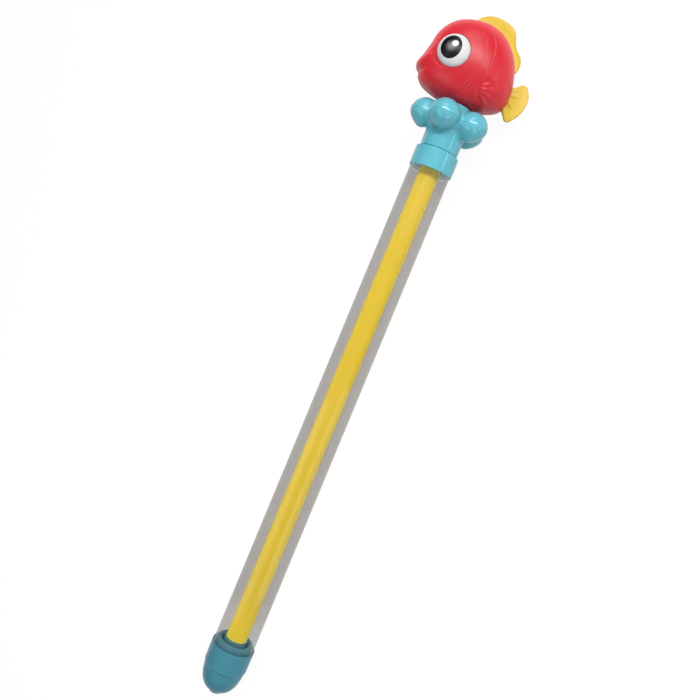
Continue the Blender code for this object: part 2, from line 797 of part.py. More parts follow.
def bosses(side, label):
    """The screw bosses of one shell. The right shell's widen beyond the fins to hold the screw heads."""
    found = []
    start = side * SEAM_GAP / 2
    for name, place in SCREW_PLACES.items():
        found.append(across_fish(f"boss_{name}_{label}", BOSS_RADIUS, place, start, side * CUTTER_REACH))
        if side > 0:
            wide = FIN_THICKNESS / 2 + SEAM_GAP
            radius = WELL_RADIUS + WELL_SEAT
            found.append(across_fish(f"well_wall_{name}", radius, place, wide, CUTTER_REACH))
    return found


def screw_holes(side, label):
    """The screws' pilot holes in the left shell, or their holes and head wells in the right one."""
    found = []
    shank = SHELL_SCREW_SHANK + PRESS_GAP
    tip = SCREW_SEAT_Y - SHELL_SCREW_LENGTH - SEAM_GAP
    for name, place in SCREW_PLACES.items():
        if side > 0:
            found.append(across_fish(f"hole_{name}", shank, place, -SEAM_GAP, SCREW_SEAT_Y + SEAM_GAP))
            found.append(across_fish(f"head_well_{name}", WELL_RADIUS, place, SCREW_SEAT_Y, CUTTER_REACH))
        else:
            found.append(across_fish(f"pilot_{name}", shank, place, tip, SEAM_GAP))
    return found


def fish_shell(name, side, fin_slots, material):
    """One half of the fish: the body less its hollow, fitted for eye, fins, post and screws."""
    label = name.split("_")[1]
    hollow = as_cutter(fish_form(f"fish_hollow_{label}", FISH_WALL, FISH_HOLLOW_STEPS))
    floor = upright_bar(f"fish_floor_{label}", FLOOR_RADIUS, BELLY_Z - FISH_WALL, FISH_FLOOR_Z, SMALL_STEPS)
    cut(hollow, floor, eye_pad(side, f"eye_pad_{label}"), *bosses(side, label))
    part = fish_form(name, 0.0, FISH_STEPS, PARTS)
    join_or_cut(part, pectoral(side, f"pectoral_{label}"), "UNION")
    near = side * SEAM_GAP / 2
    other = -side * CUTTER_REACH
    low = (-CUTTER_REACH, min(near, other), BELLY_Z - CUTTER_REACH)
    high = (CUTTER_REACH, max(near, other), BELLY_Z + 2 * CUTTER_REACH)
    post_hole = POST_RADIUS + PRESS_GAP
    post = upright_bar(f"post_hole_{label}", post_hole, SEAT_Z - FISH_WALL, FISH_FLOOR_Z + FISH_WALL)
    cut(part, hollow, block(f"other_side_of_{label}", low, high), eye_pocket(side, f"eye_pocket_{label}"))
    cut(part, post, *screw_holes(side, label), *fin_slots)
    return finish(part, material)


def fin_curve(name, outline, hole, grow, thickness):
    """A flat curve of a fin in the fish's middle plane, with the hole for a screw boss where it has one."""
    curve = bpy.data.curves.new(name, "CURVE")
    curve.dimensions = "2D"
    curve.fill_mode = "BOTH"
    curve.extrude = thickness / 2
    curve.offset = grow
    curve.resolution_u = 2
    spline = curve.splines.new("BEZIER")
    spline.bezier_points.add(len(outline) - 1)
    spline.use_cyclic_u = True
    for point, place in zip(spline.bezier_points, outline):
        point.co = (place[0], BELLY_Z + place[1], 0.0)
        point.handle_left_type = "AUTO"
        point.handle_right_type = "AUTO"
    if hole:
        ring = curve.splines.new("POLY")
        ring.points.add(SMALL_STEPS - 1)
        ring.use_cyclic_u = True
        radius = BOSS_RADIUS + PRESS_GAP
        for index, point in enumerate(ring.points):
            angle = 2.0 * math.pi * index / SMALL_STEPS
            across = hole[0] + radius * math.cos(angle)
            up = BELLY_Z + hole[1] + radius * math.sin(angle)
            point.co = (across, up, 0.0, 1.0)
    return curve


def fin_mesh(name, curve, collection):
    """A closed mesh from a fin's curve, stood up in the fish's middle plane."""
    flat = linked(f"{name}_curve", curve, collection)
    graph = bpy.context.evaluated_depsgraph_get()
    mesh = bpy.data.meshes.new_from_object(flat.evaluated_get(graph))
    bpy.data.objects.remove(flat, do_unlink=True)
    bm = bmesh.new()
    bm.from_mesh(mesh)
    bmesh.ops.remove_doubles(bm, verts=bm.verts, dist=MERGE_DISTANCE)
    bmesh.ops.rotate(bm, verts=bm.verts, matrix=Matrix.Rotation(math.pi / 2, 3, "X"))
    bm.to_mesh(mesh)
    bm.free()
    mesh.name = name
    return linked(name, mesh, collection)


def fin(name, outline, hole, material):
    """A fin with softened edges, whose tab goes round a screw boss."""
    part = fin_mesh(name, fin_curve(name, outline, hole, 0.0, FIN_THICKNESS), PARTS)
    bevel = part.modifiers.new("soft_edges", "BEVEL")
    bevel.width = FIN_ROUNDING
    bevel.segments = 1
    bevel.limit_method = "ANGLE"
    bevel.angle_limit = FIN_EDGE_ANGLE
    return finish(part, material)


def fin_slot(name, outline):
    """What the shells lose to let a fin through."""
    curve = fin_curve(name, outline, None, PRESS_GAP, FIN_THICKNESS + 2 * PRESS_GAP)
    return as_cutter(fin_mesh(name, curve, CUTTERS))


# Assembly

def build_barrel(materials):
    """The pieces that stay still."""
    return [
        barrel_tube(materials["clear"]),
        nozzle_cap(materials["teal"]),
        nozzle_gasket(materials["rubber"]),
        collar(materials["teal"]),
    ]


def build_piston(materials):
    """The pieces that slide but needn't turn."""
    return [piston(materials["teal"]), piston_o_ring(materials["rubber"])]


def build_rod(materials):
    """The rod with its plugs and screws."""
    natural = materials["natural"]
    upside_down = Matrix.Translation((0.0, 0.0, PISTON_SCREW_Z)) @ Matrix.Rotation(math.pi, 4, "X")
    return [
        plunger_rod(materials["yellow"]),
        rod_plug("rod_foot_plug", ROD_FOOT_Z, FOOT_PILOT_Z, FOOT_PLUG_Z, PISTON_SCREW_SHANK, natural),
        rod_plug("rod_head_plug", ROD_HEAD_Z, HEAD_PILOT_Z, HEAD_PLUG_Z, HANDLE_SCREW_SHANK, natural),
        washer(materials["steel"]),
        self_tapper(
            "piston_screw",
            PISTON_SCREW_HEAD,
            PISTON_SCREW_HEAD_HEIGHT,
            PISTON_SCREW_SHANK,
            PISTON_SCREW_LENGTH,
            upside_down,
            materials["steel"],
        ),
        self_tapper(
            "handle_screw",
            HANDLE_SCREW_HEAD,
            HANDLE_SCREW_HEAD_HEIGHT,
            HANDLE_SCREW_SHANK,
            HANDLE_SCREW_LENGTH,
            Matrix.Translation((0.0, 0.0, HANDLE_SCREW_Z)),
            materials["steel"],
        ),
    ]


def build_coral(materials):
    """The two mouldings of the coral knob."""
    balls = lobes("coral_balls", LOBE_RADIUS, LOBE_STEPS)
    hollows = lobes("coral_hollows", LOBE_RADIUS - LOBE_WALL, LOBE_HOLLOW_STEPS)
    return [coral_lower(balls, hollows, materials["teal"]), coral_upper(balls, hollows, materials["teal"])]


def build_fish(materials):
    """The shells, the eyes, the fins and the screws that hold them."""
    slots = [fin_slot("dorsal_slot", DORSAL_OUTLINE), fin_slot("tail_slot", TAIL_OUTLINE)]
    parts = [
        fish_shell("fish_left", -1, slots, materials["red"]),
        fish_shell("fish_right", 1, slots, materials["red"]),
        eye("eye_left", -1, materials["white"]),
        eye("eye_right", 1, materials["white"]),
        fin("dorsal_fin", DORSAL_OUTLINE, SCREW_PLACES["top"], materials["yellow"]),
        fin("tail_fin", TAIL_OUTLINE, SCREW_PLACES["rear"], materials["yellow"]),
    ]
    for name, place in SCREW_PLACES.items():
        seat = Vector((place[0], SCREW_SEAT_Y + PRESS_GAP, BELLY_Z + place[1]))
        parts.append(
            self_tapper(
                f"fish_screw_{name}",
                SHELL_SCREW_HEAD,
                SHELL_SCREW_HEAD_HEIGHT,
                SHELL_SCREW_SHANK,
                SHELL_SCREW_LENGTH,
                Matrix.Translation(seat) @ Matrix.Rotation(-math.pi / 2, 4, "X"),
                materials["steel"],
            )
        )
    return parts


def rest_turn():
    """Turns the upright squirter to lie along +X on its nozzle cap and on two lobes of the coral knob."""
    down = (lobe_angle(LOBE_COUNT - 2) + lobe_angle(LOBE_COUNT - 1)) / 2
    up = Vector((-math.cos(down), -math.sin(down), 0.0))
    axis = Vector((0.0, 0.0, 1.0))
    lying = Matrix((axis, up.cross(axis), up)).to_4x4()
    reach = LOBE_CIRCLE * math.cos(math.pi / LOBE_COUNT) - CAP_STEP
    run = CORAL_Z - NOSE_HEIGHT
    lean = math.atan2(reach, run) + math.asin(LOBE_RADIUS / math.hypot(reach, run))
    return Matrix.Rotation(-lean, 4, "Y") @ lying


def floor_middle(parts):
    """The middle of the parts' box on the floor that they lie on."""
    bpy.context.view_layer.update()
    graph = bpy.context.evaluated_depsgraph_get()
    points = []
    for part in parts:
        shaped = part.evaluated_get(graph)
        points += [shaped.matrix_world @ vert.co for vert in shaped.data.vertices]
    low = np.min(points, axis=0)
    high = np.max(points, axis=0)
    return Vector(((low[0] + high[0]) / 2, (low[1] + high[1]) / 2, low[2]))


def main():
    """Builds every piece on its joint's empty and lays the squirter down."""
    clear_scene()
    materials = {
        "clear": plastic("clear_plastic", (0.80, 0.82, 0.82), 0.08, alpha=0.25),
        "teal": plastic("teal_plastic", (0.11, 0.50, 0.62), 0.35),
        "yellow": plastic("yellow_plastic", (0.84, 0.56, 0.05), 0.35),
        "red": plastic("red_plastic", (0.72, 0.04, 0.06), 0.42),
        "white": plastic("white_plastic", (0.80, 0.81, 0.81), 0.25),
        "natural": plastic("natural_plastic", (0.72, 0.70, 0.64), 0.50),
        "rubber": plastic("black_rubber", (0.02, 0.02, 0.02), 0.70),
        "steel": plastic("zinc_steel", (0.55, 0.55, 0.57), 0.35, metallic=1.0),
    }
    rest = empty("squirter_at_rest")
    slide = empty("plunger_slide", rest)
    spin = empty("handle_spin", slide)
    barrel = build_barrel(materials)
    pump = build_piston(materials)
    handle = build_rod(materials) + build_coral(materials) + build_fish(materials)
    for parent, parts in ((rest, barrel), (slide, pump), (spin, handle)):
        for part in parts:
            part.parent = parent
    for cutter in bpy.data.collections[CUTTERS].objects:
        cutter.parent = rest
    rest.matrix_basis = rest_turn()
    middle = floor_middle(barrel + pump + handle)
    rest.matrix_basis = Matrix.Translation(-middle) @ rest_turn()


main()
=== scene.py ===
"""Looks of the water squirter: smooth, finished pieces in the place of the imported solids.

The pieces are shaped upright, with the tube's axis on Z and the jet at the origin. The fish looks
along -X and its left side faces -Y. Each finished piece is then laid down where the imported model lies.
"""

import json
import logging
import math
from collections.abc import Callable, Iterator
from contextlib import contextmanager
from dataclasses import dataclass, field
from enum import Enum

import bpy
import numpy as np
from mathutils import Matrix, Vector


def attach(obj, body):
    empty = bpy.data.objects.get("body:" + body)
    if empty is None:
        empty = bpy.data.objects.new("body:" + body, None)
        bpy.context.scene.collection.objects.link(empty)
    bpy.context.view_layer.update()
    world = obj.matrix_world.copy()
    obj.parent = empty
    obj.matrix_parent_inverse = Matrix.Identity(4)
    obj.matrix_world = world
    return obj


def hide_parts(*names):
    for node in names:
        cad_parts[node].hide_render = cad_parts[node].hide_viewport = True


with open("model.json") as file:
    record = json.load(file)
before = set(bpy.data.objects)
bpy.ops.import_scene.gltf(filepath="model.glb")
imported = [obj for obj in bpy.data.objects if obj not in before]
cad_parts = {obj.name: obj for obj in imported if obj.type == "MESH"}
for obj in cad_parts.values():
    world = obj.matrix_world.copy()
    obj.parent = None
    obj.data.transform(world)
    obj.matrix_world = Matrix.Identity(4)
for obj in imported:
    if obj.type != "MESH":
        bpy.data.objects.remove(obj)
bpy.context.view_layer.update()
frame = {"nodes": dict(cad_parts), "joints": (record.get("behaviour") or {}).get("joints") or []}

MM = 0.001
# Points closer than this are welded, and edges sharper than this angle are rounded.
WELD = 0.001 * MM
SHARP = math.radians(30.0)
WHITE = (1.0, 1.0, 1.0, 1.0)
LOG = logging.getLogger("squirter")

Point = tuple[float, float]
Points = tuple[Point, ...]
Place = tuple[float, float, float]
Colour = tuple[float, float, float, float]


class Body(Enum):
    """The bodies that pieces ride on."""

    BARREL = "barrel"
    PISTON = "piston"
    HANDLE = "handle"


class Slot(Enum):
    """The record's material slots, which each piece's role names."""

    CLEAR = "clear_tube"
    TEAL = "teal_plastic"
    YELLOW = "yellow_plastic"
    RED = "red_plastic"
    WHITE = "white_plastic"
    RUBBER = "black_rubber"


class Ending(Enum):
    """How a turned profile is closed."""

    WALL = "the last ring is bridged to the first"
    CAPPED = "both end rings are filled"
    DOMED = "the first ring is filled and the last one shrinks to a pole"


class Half(Enum):
    """The coral knob's mouldings, as the sign of their way from the seam."""

    UPPER = 1
    LOWER = -1


class Side(Enum):
    """The fish's sides, as the sign of their Y."""

    LEFT = -1
    RIGHT = 1


@dataclass(frozen=True)
class Role:
    """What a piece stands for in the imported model."""

    body: Body
    slot: Slot
    nodes: tuple[str, ...]


# Operators


def activate(piece: bpy.types.Object) -> None:
    """Selects one object alone and makes it active.

    Args:
        piece: The object that the next operators act on.
    """
    bpy.ops.object.select_all(action="DESELECT")
    piece.select_set(True)
    bpy.context.view_layer.objects.active = piece


@contextmanager
def editing(piece: bpy.types.Object, choice: str = "SELECT") -> Iterator[None]:
    """Opens a piece in edit mode for the operators of a block.

    Args:
        piece: The mesh object to change.
        choice: "SELECT" to start with all of its mesh selected, or "DESELECT" with nothing.

    Yields:
        Nothing.
    """
    activate(piece)
    bpy.ops.object.mode_set(mode="EDIT")
    bpy.ops.mesh.select_all(action=choice)
    yield
    bpy.ops.object.mode_set(mode="OBJECT")


def apply_modifier(piece: bpy.types.Object, kind: str, **settings: object) -> None:
    """Adds a modifier, sets it and applies it.

    Args:
        piece: The mesh object to change.
        kind: The modifier's type.
        settings: Its properties by name.
    """
    modifier = piece.modifiers.new(kind.lower(), kind)
    for name, value in settings.items():
        setattr(modifier, name, value)
    activate(piece)
    bpy.ops.object.modifier_apply(modifier=modifier.name)


def soften(piece: bpy.types.Object, width: float, segments: int = 3) -> None:
    """Rounds the sharp edges of a piece.

    Args:
        piece: The mesh object to change.
        width: The rounding's width in metres.
        segments: The number of faces across the rounding.
    """
    edges = {"limit_method": "ANGLE", "angle_limit": SHARP}
    apply_modifier(piece, "BEVEL", width=width, segments=segments, **edges)


def one_skin(piece: bpy.types.Object, voxel: float, rounds: int) -> None:
    """Melts overlapping forms into one closed skin and relaxes it, so that soft valleys join them.

    Args:
        piece: The mesh object to change.
        voxel: The skin's grid in metres.
        rounds: How often the skin is relaxed.
    """
    apply_modifier(piece, "REMESH", mode="VOXEL", voxel_size=voxel)
    apply_modifier(piece, "SMOOTH", factor=0.5, iterations=rounds)


def carve(piece: bpy.types.Object, *tools: bpy.types.Object) -> None:
    """Cuts other solids out of a piece and removes them.

    Args:
        piece: The mesh object to cut.
        tools: The closed solids to take away from it.
    """
    for tool in tools:
        apply_modifier(piece, "BOOLEAN", object=tool, operation="DIFFERENCE", solver="MANIFOLD")
        bpy.data.objects.remove(tool, do_unlink=True)


def keep_above(piece: bpy.types.Object, point: Place, normal: Place, fill: bool) -> None:
    """Cuts a piece along a plane and keeps the side that the plane's normal points to.

    Args:
        piece: The mesh object to cut.
        point: A point of the plane.
        normal: The plane's normal.
        fill: Whether the cut is closed with a face.
    """
    with editing(piece):
        bpy.ops.mesh.bisect(plane_co=point, plane_no=normal, use_fill=fill, clear_inner=True)


def close_up(piece: bpy.types.Object) -> None:
    """Fills a piece's open rims and turns its faces outward.

    Args:
        piece: The mesh object to close.
    """
    with editing(piece, "DESELECT"):
        bpy.ops.mesh.select_non_manifold()
        bpy.ops.mesh.fill_holes(sides=0)
        bpy.ops.mesh.select_all(action="SELECT")
        bpy.ops.mesh.normals_make_consistent(inside=False)


def lathe(name: str, profile: list[Point], ending: Ending, steps: int = 96) -> bpy.types.Object:
    """Turns a profile about Z by growing a circle ring by ring.

    Args:
        name: The new object's name.
        profile: Radius and height of each ring, along one side of the section.
        ending: How the first and last rings are closed.
        steps: The number of sides.

    Returns:
        The closed mesh object.
    """
    bpy.ops.object.select_all(action="DESELECT")
    radius, height = profile[0]
    bpy.ops.mesh.primitive_circle_add(vertices=steps, radius=radius, location=(0.0, 0.0, height))
    piece = bpy.context.active_object
    piece.name = name
    bpy.ops.object.transform_apply(location=True)
    with editing(piece):
        for next_radius, next_height in profile[1:]:
            rise = (0.0, 0.0, next_height - height)
            share = next_radius / radius
            bpy.ops.mesh.extrude_region_move(TRANSFORM_OT_translate={"value": rise})
            bpy.ops.transform.resize(value=(share, share, 1.0), center_override=(0.0, 0.0, next_height))
            radius, height = next_radius, next_height
        if ending is Ending.DOMED:
            bpy.ops.mesh.merge(type="CENTER")
    if ending is Ending.WALL:
        with editing(piece, "DESELECT"):
            bpy.ops.mesh.select_non_manifold()
            bpy.ops.mesh.bridge_edge_loops()
    close_up(piece)
    return piece


def pipe(inner: float, outer: float, foot: float, head: float) -> list[Point]:
    """The section of a straight pipe, as a profile."""
    return [(outer, head), (outer, foot), (inner, foot), (inner, head)]


def arc(centre: Point, radii: Point, start: float, stop: float, count: int) -> list[Point]:
    """Points on an elliptic arc of a profile.

    Args:
        centre: The ellipse's middle as radius and height.
        radii: Its half axes.
        start: The first angle in degrees, from the outward direction towards up.
        stop: The last angle in degrees.
        count: The number of points.

    Returns:
        The points in order.
    """
    angles = np.radians(np.linspace(start, stop, count))
    return [(centre[0] + radii[0] * math.cos(a), centre[1] + radii[1] * math.sin(a)) for a in angles]


def points_of(piece: bpy.types.Object, attribute: str = "co") -> np.ndarray:
    """A mesh's vertices as rows.

    Args:
        piece: The mesh object.
        attribute: "co" for places or "normal" for directions.

    Returns:
        One row of three numbers for each vertex.
    """
    flat = np.empty(len(piece.data.vertices) * 3)
    piece.data.vertices.foreach_get(attribute, flat)
    return flat.reshape(-1, 3)


def move_points(piece: bpy.types.Object, places: np.ndarray) -> None:
    """Puts a mesh's vertices in new places.

    Args:
        piece: The mesh object.
        places: One row of three numbers for each vertex.
    """
    piece.data.vertices.foreach_set("co", places.ravel())
    piece.data.update()


def set_map(piece: bpy.types.Object, name: str, places: np.ndarray) -> None:
    """Gives a mesh a texture map.

    Args:
        piece: The mesh object.
        name: The map's name.
        places: One row of two numbers for each vertex.
    """
    layer = piece.data.uv_layers.new(name=name)
    corners = np.empty(len(piece.data.loops), dtype=np.int32)
    piece.data.loops.foreach_get("vertex_index", corners)
    layer.data.foreach_set("uv", places[corners].ravel())


def set_value(piece: bpy.types.Object, name: str, values: np.ndarray) -> None:
    """Gives each vertex of a mesh a number for the shader.

    Args:
        piece: The mesh object.
        name: The number's name.
        values: One number for each vertex.
    """
    piece.data.attributes.new(name, "FLOAT", "POINT").data.foreach_set("value", values)


def smooth_step(value: np.ndarray) -> np.ndarray:
    """Eases from 0 to 1 while the value goes from 0 to 1."""
    held = np.clip(value, 0.0, 1.0)
    return held * held * (3.0 - 2.0 * held)


def hermite(knots: np.ndarray, values: np.ndarray, wanted: np.ndarray) -> np.ndarray:
    """A smooth curve through given values.

    Args:
        knots: Where the values lie, rising.
        values: The values at the knots.
        wanted: Where the curve is read.

    Returns:
        The curve's values.
    """
    slopes = np.gradient(values, knots)
    left = np.clip(np.searchsorted(knots, wanted) - 1, 0, len(knots) - 2)
    span = knots[left + 1] - knots[left]
    t = (wanted - knots[left]) / span
    return (
        (2 * t**3 - 3 * t**2 + 1) * values[left]
        + (t**3 - 2 * t**2 + t) * span * slopes[left]
        + (3 * t**2 - 2 * t**3) * values[left + 1]
        + (t**3 - t**2) * span * slopes[left + 1]
    )


# Layout


@dataclass(frozen=True)
class Layout:
    """The squirter's own upright frame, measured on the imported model.

    Attributes:
        to_world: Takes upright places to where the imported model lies.
    """

    to_world: Matrix

    @classmethod
    def measured(cls) -> "Layout":
        """Finds the frame from the spin joint's axis and the two eyes.

        Returns:
            The layout of the loaded model.
        """
        spin = next(joint for joint in frame["joints"] if joint["name"] == "handle_spin")
        axis = Vector(spin["axis"]).normalized()
        eyes = [frame["nodes"][name] for name in ("eye_left", "eye_right")]
        left, right = (Vector(points_of(eye).mean(axis=0)) for eye in eyes)
        side = right - left
        side = (side - axis * side.dot(axis)).normalized()
        turn = Matrix((side.cross(axis), side, axis)).transposed().to_4x4()
        return cls(Matrix.Translation(Vector(spin["pos_m"])) @ turn)

    def upright(self, node: str) -> np.ndarray:
        """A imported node's vertices in the upright frame.

        Args:
            node: The node's name.

        Returns:
            One row of three numbers for each vertex.
        """
        inverse = np.array(self.to_world.inverted())
        return points_of(frame["nodes"][node]) @ inverse[:3, :3].T + inverse[:3, 3]

    def span(self, node: str) -> Point:
        """The lowest and the highest point of a node along the tube."""
        heights = self.upright(node)[:, 2]
        return float(heights.min()), float(heights.max())

    def reach(self, node: str) -> Point:
        """A node's least and greatest distance from the tube's axis."""
        radii = np.hypot(*self.upright(node)[:, :2].T)
        return float(radii.min()), float(radii.max())

    def place(
        self, piece: bpy.types.Object, role: Role, material: bpy.types.Material, crease: float = 35.0
    ) -> None:
        """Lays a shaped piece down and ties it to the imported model.

        Args:
            piece: The upright mesh object.
            role: What it stands for.
            material: Its finish.
            crease: The angle in degrees over which an edge stays sharp.
        """
        piece.data.transform(self.to_world)
        piece.data.materials.clear()
        piece.data.materials.append(material)
        activate(piece)
        bpy.ops.object.shade_smooth_by_angle(angle=math.radians(crease))
        apply_modifier(piece, "WEIGHTED_NORMAL", keep_sharp=True)
        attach(piece, role.body.value)
        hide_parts(*role.nodes)
        LOG.info("%s: %d faces, on %s", piece.name, len(piece.data.polygons), role.body.value)


# Finishes


def linear(code: str) -> Colour:
    """A colour for a shader from its sRGB code.

    Args:
        code: Six hexadecimal digits after a hash sign.

    Returns:
        Linear red, green, blue and full alpha.
    """
    shares = [int(code[i : i + 2], 16) / 255.0 for i in (1, 3, 5)]
    values = [s / 12.92 if s <= 0.04045 else ((s + 0.055) / 1.055) ** 2.4 for s in shares]
    return (*values, 1.0)


def add_node(tree: bpy.types.NodeTree, kind: str, inputs: dict, **settings: object) -> bpy.types.Node:
    """Adds a shader node with its settings, values and links.

    Args:
        tree: The node tree.
        kind: The node's type without its "ShaderNode" prefix.
        inputs: By the name or number of the input, a value, an output socket, or a node for its first one.
        settings: The node's own properties by name.

    Returns:
        The new node.
    """
    node = tree.nodes.new(f"ShaderNode{kind}")
    for name, value in settings.items():
        setattr(node, name, value)
    for name, value in inputs.items():
        source = value.outputs[0] if isinstance(value, bpy.types.Node) else value
        if isinstance(source, bpy.types.NodeSocket):
            tree.links.new(source, node.inputs[name])
        else:
            node.inputs[name].default_value = source
    return node


def new_material(name: str) -> tuple[bpy.types.Material, bpy.types.NodeTree]:
    """An empty material.

    Args:
        name: The material's name.

    Returns:
        The material and its cleared node tree.
    """
    material = bpy.data.materials.new(name)
    material.use_nodes = True
    material.node_tree.nodes.clear()
    return material, material.node_tree


def per_mm(size: float) -> float:
    """The scale of a noise whose grains are this many millimetres wide."""
    return 1.0 / (size * MM)


@dataclass(frozen=True)
class Arc:
    """A hairline along part of a circle on the fish's flank, in the fish's millimetres.

    Attributes:
        centre: The circle's middle.
        radius: Its radius.
        low: Where the line starts above the belly.
        high: Where it ends.
        strength: How clear it is, as a share of the clearest line.
    """

    centre: Point
    radius: float
    low: float
    high: float
    strength: float = 1.0


@dataclass(frozen=True)
class Engraving:
    """Hairlines cut into the mould: gill cover and tail folds, with a pale painted highlight along them, as
    where they catch the light.

    Attributes:
        arcs: The lines.
        width: Half a line's width in millimetres.
        fade: Half the length of a line's fading ends in millimetres.
        depth: How deep it looks in millimetres.
        colour: The sRGB colour of the painted highlight along the lines.
        highlight_share: How strongly the painted highlight shows, as a share.
        span: The flank's millimetres across the whole map.
    """

    arcs: tuple[Arc, ...] = (
        Arc((-13.5, 32.0), 23.4, 30.0, 49.0),
        Arc((-110.0, 25.5), 119.7, 16.5, 31.0),
        Arc((-28.6, 27.6), 32.2, 3.5, 45.5, 0.4),
        Arc((-31.0, 25.8), 36.1, 3.6, 42.0, 0.35),
        Arc((-6.9, 25.5), 22.3, 20.3, 24.6),
        Arc((58.7, 22.8), 33.8, 13.0, 30.5, 0.7),
    )
    width: float = 0.42
    fade: float = 1.0
    depth: float = 0.25
    colour: str = "#EE7079"
    highlight_share: float = 0.35
    span: float = 100.0

    def mask(self, tree: bpy.types.NodeTree) -> bpy.types.Node:
        """Draws the lines.

        Args:
            tree: The node tree.

        Returns:
            A node that gives 1 on the lines and 0 off them.
        """
        flank = add_node(tree, "UVMap", {}, uv_map="flank")
        place = add_node(tree, "VectorMath", {0: flank, 3: self.span}, operation="SCALE")
        up = add_node(tree, "SeparateXYZ", {0: place}).outputs["Y"]
        drawn: bpy.types.Node | float = 0.0
        for line in self.arcs:
            centre = (line.centre[0] + self.span / 2, line.centre[1], 0.0)
            away = add_node(tree, "VectorMath", {0: place, 1: centre}, operation="DISTANCE")
            off = add_node(tree, "Math", {0: away.outputs["Value"], 1: line.radius}, operation="SUBTRACT")
            gap = add_node(tree, "Math", {0: off}, operation="ABSOLUTE")
            across = {0: gap, 1: self.width, 2: 0.0}
            cut = add_node(tree, "MapRange", across, interpolation_type="SMOOTHSTEP")
            start = add_node(tree, "MapRange", {0: up, 1: line.low - self.fade, 2: line.low + self.fade})
            end = {0: up, 1: line.high + self.fade, 2: line.high - self.fade, 4: line.strength}
            stop = add_node(tree, "MapRange", end)
            part = add_node(tree, "Math", {0: start, 1: stop}, operation="MULTIPLY")
            shown = add_node(tree, "Math", {0: cut, 1: part}, operation="MULTIPLY")
            drawn = add_node(tree, "Math", {0: drawn, 1: shown}, operation="MAXIMUM")
        return drawn


@dataclass(frozen=True)
class MouldedPlastic:
    """Coloured moulding compound: a plain body colour under a soft gloss that wavers a little.

    Attributes:
        name: The material's name.
        colour: The body colour's sRGB code.
        roughness: How much the gloss is spread.
        mottle: How far the colour wavers, as a share.
        ripple: The height of the surface's fine unevenness in millimetres.
        chalk: How far the body colour evens the shading out, as a chalky pigment does.
        shine: How strong the gloss is.
        engraving: The hairlines cut into it, if any.
        flow_size: The width of the colour's slow flow in millimetres.
        patch_size: The width of the duller and clearer patches in millimetres.
        patch_range: How far the gloss wavers from patch to patch, as a share.
        peel_size: The width of the orange peel's dimples in millimetres, coarse enough to show.
        peel_strength: How much of the dimples' height shows.
    """

    name: str
    colour: str
    roughness: float
    mottle: float = 0.03
    ripple: float = 0.02
    chalk: float = 0.0
    shine: float = 0.5
    engraving: Engraving | None = None
    flow_size: float = 25.0
    patch_size: float = 8.0
    patch_range: float = 0.15
    peel_size: float = 1.6
    peel_strength: float = 0.25

    def material(self) -> bpy.types.Material:
        """Makes the material: slow colour flow, uneven gloss and a fine orange-peel skin.

        Returns:
            The new material.
        """
        material, tree = new_material(self.name)
        place = add_node(tree, "TexCoord", {}).outputs["Object"]
        grains = ((self.flow_size, 2.0), (self.patch_size, 3.0), (self.peel_size, 1.0))
        noises = [{"Vector": place, "Scale": per_mm(size), "Detail": detail} for size, detail in grains]
        flow, patches, peel = (add_node(tree, "TexNoise", noise).outputs["Fac"] for noise in noises)
        tint = add_node(tree, "MapRange", {0: flow, 3: 1.0 - self.mottle, 4: 1.0 + self.mottle})
        body = add_node(tree, "HueSaturation", {"Value": tint, "Color": linear(self.colour)})
        low, high = (self.roughness * (1.0 + sign * self.patch_range) for sign in (-1, 1))
        gloss = add_node(tree, "MapRange", {0: patches, 3: low, 4: high})
        dimples = {"Height": peel, "Strength": self.peel_strength, "Distance": self.ripple * MM}
        bump = add_node(tree, "Bump", dimples)
        values = {"Base Color": body, "Roughness": gloss, "Normal": bump}
        values |= {"Diffuse Roughness": self.chalk, "Specular IOR Level": self.shine}
        if self.engraving:
            cut = self.engraving.mask(tree)
            # Painted highlight: along the hairlines the body colour is mixed towards a paler red.
            line_highlight = add_node(tree, "Math", {0: cut, 1: self.engraving.highlight_share}, operation="MULTIPLY")
            paints = {0: line_highlight, 6: body, 7: linear(self.engraving.colour)}
            values["Base Color"] = add_node(tree, "Mix", paints, data_type="RGBA").outputs[2]
            groove = {"Height": cut, "Distance": self.engraving.depth * MM, "Strength": 1.0, "Normal": bump}
            values["Normal"] = add_node(tree, "Bump", groove, invert=True)
        shader = add_node(tree, "BsdfPrincipled", values)
        add_node(tree, "OutputMaterial", {"Surface": shader})
        return material


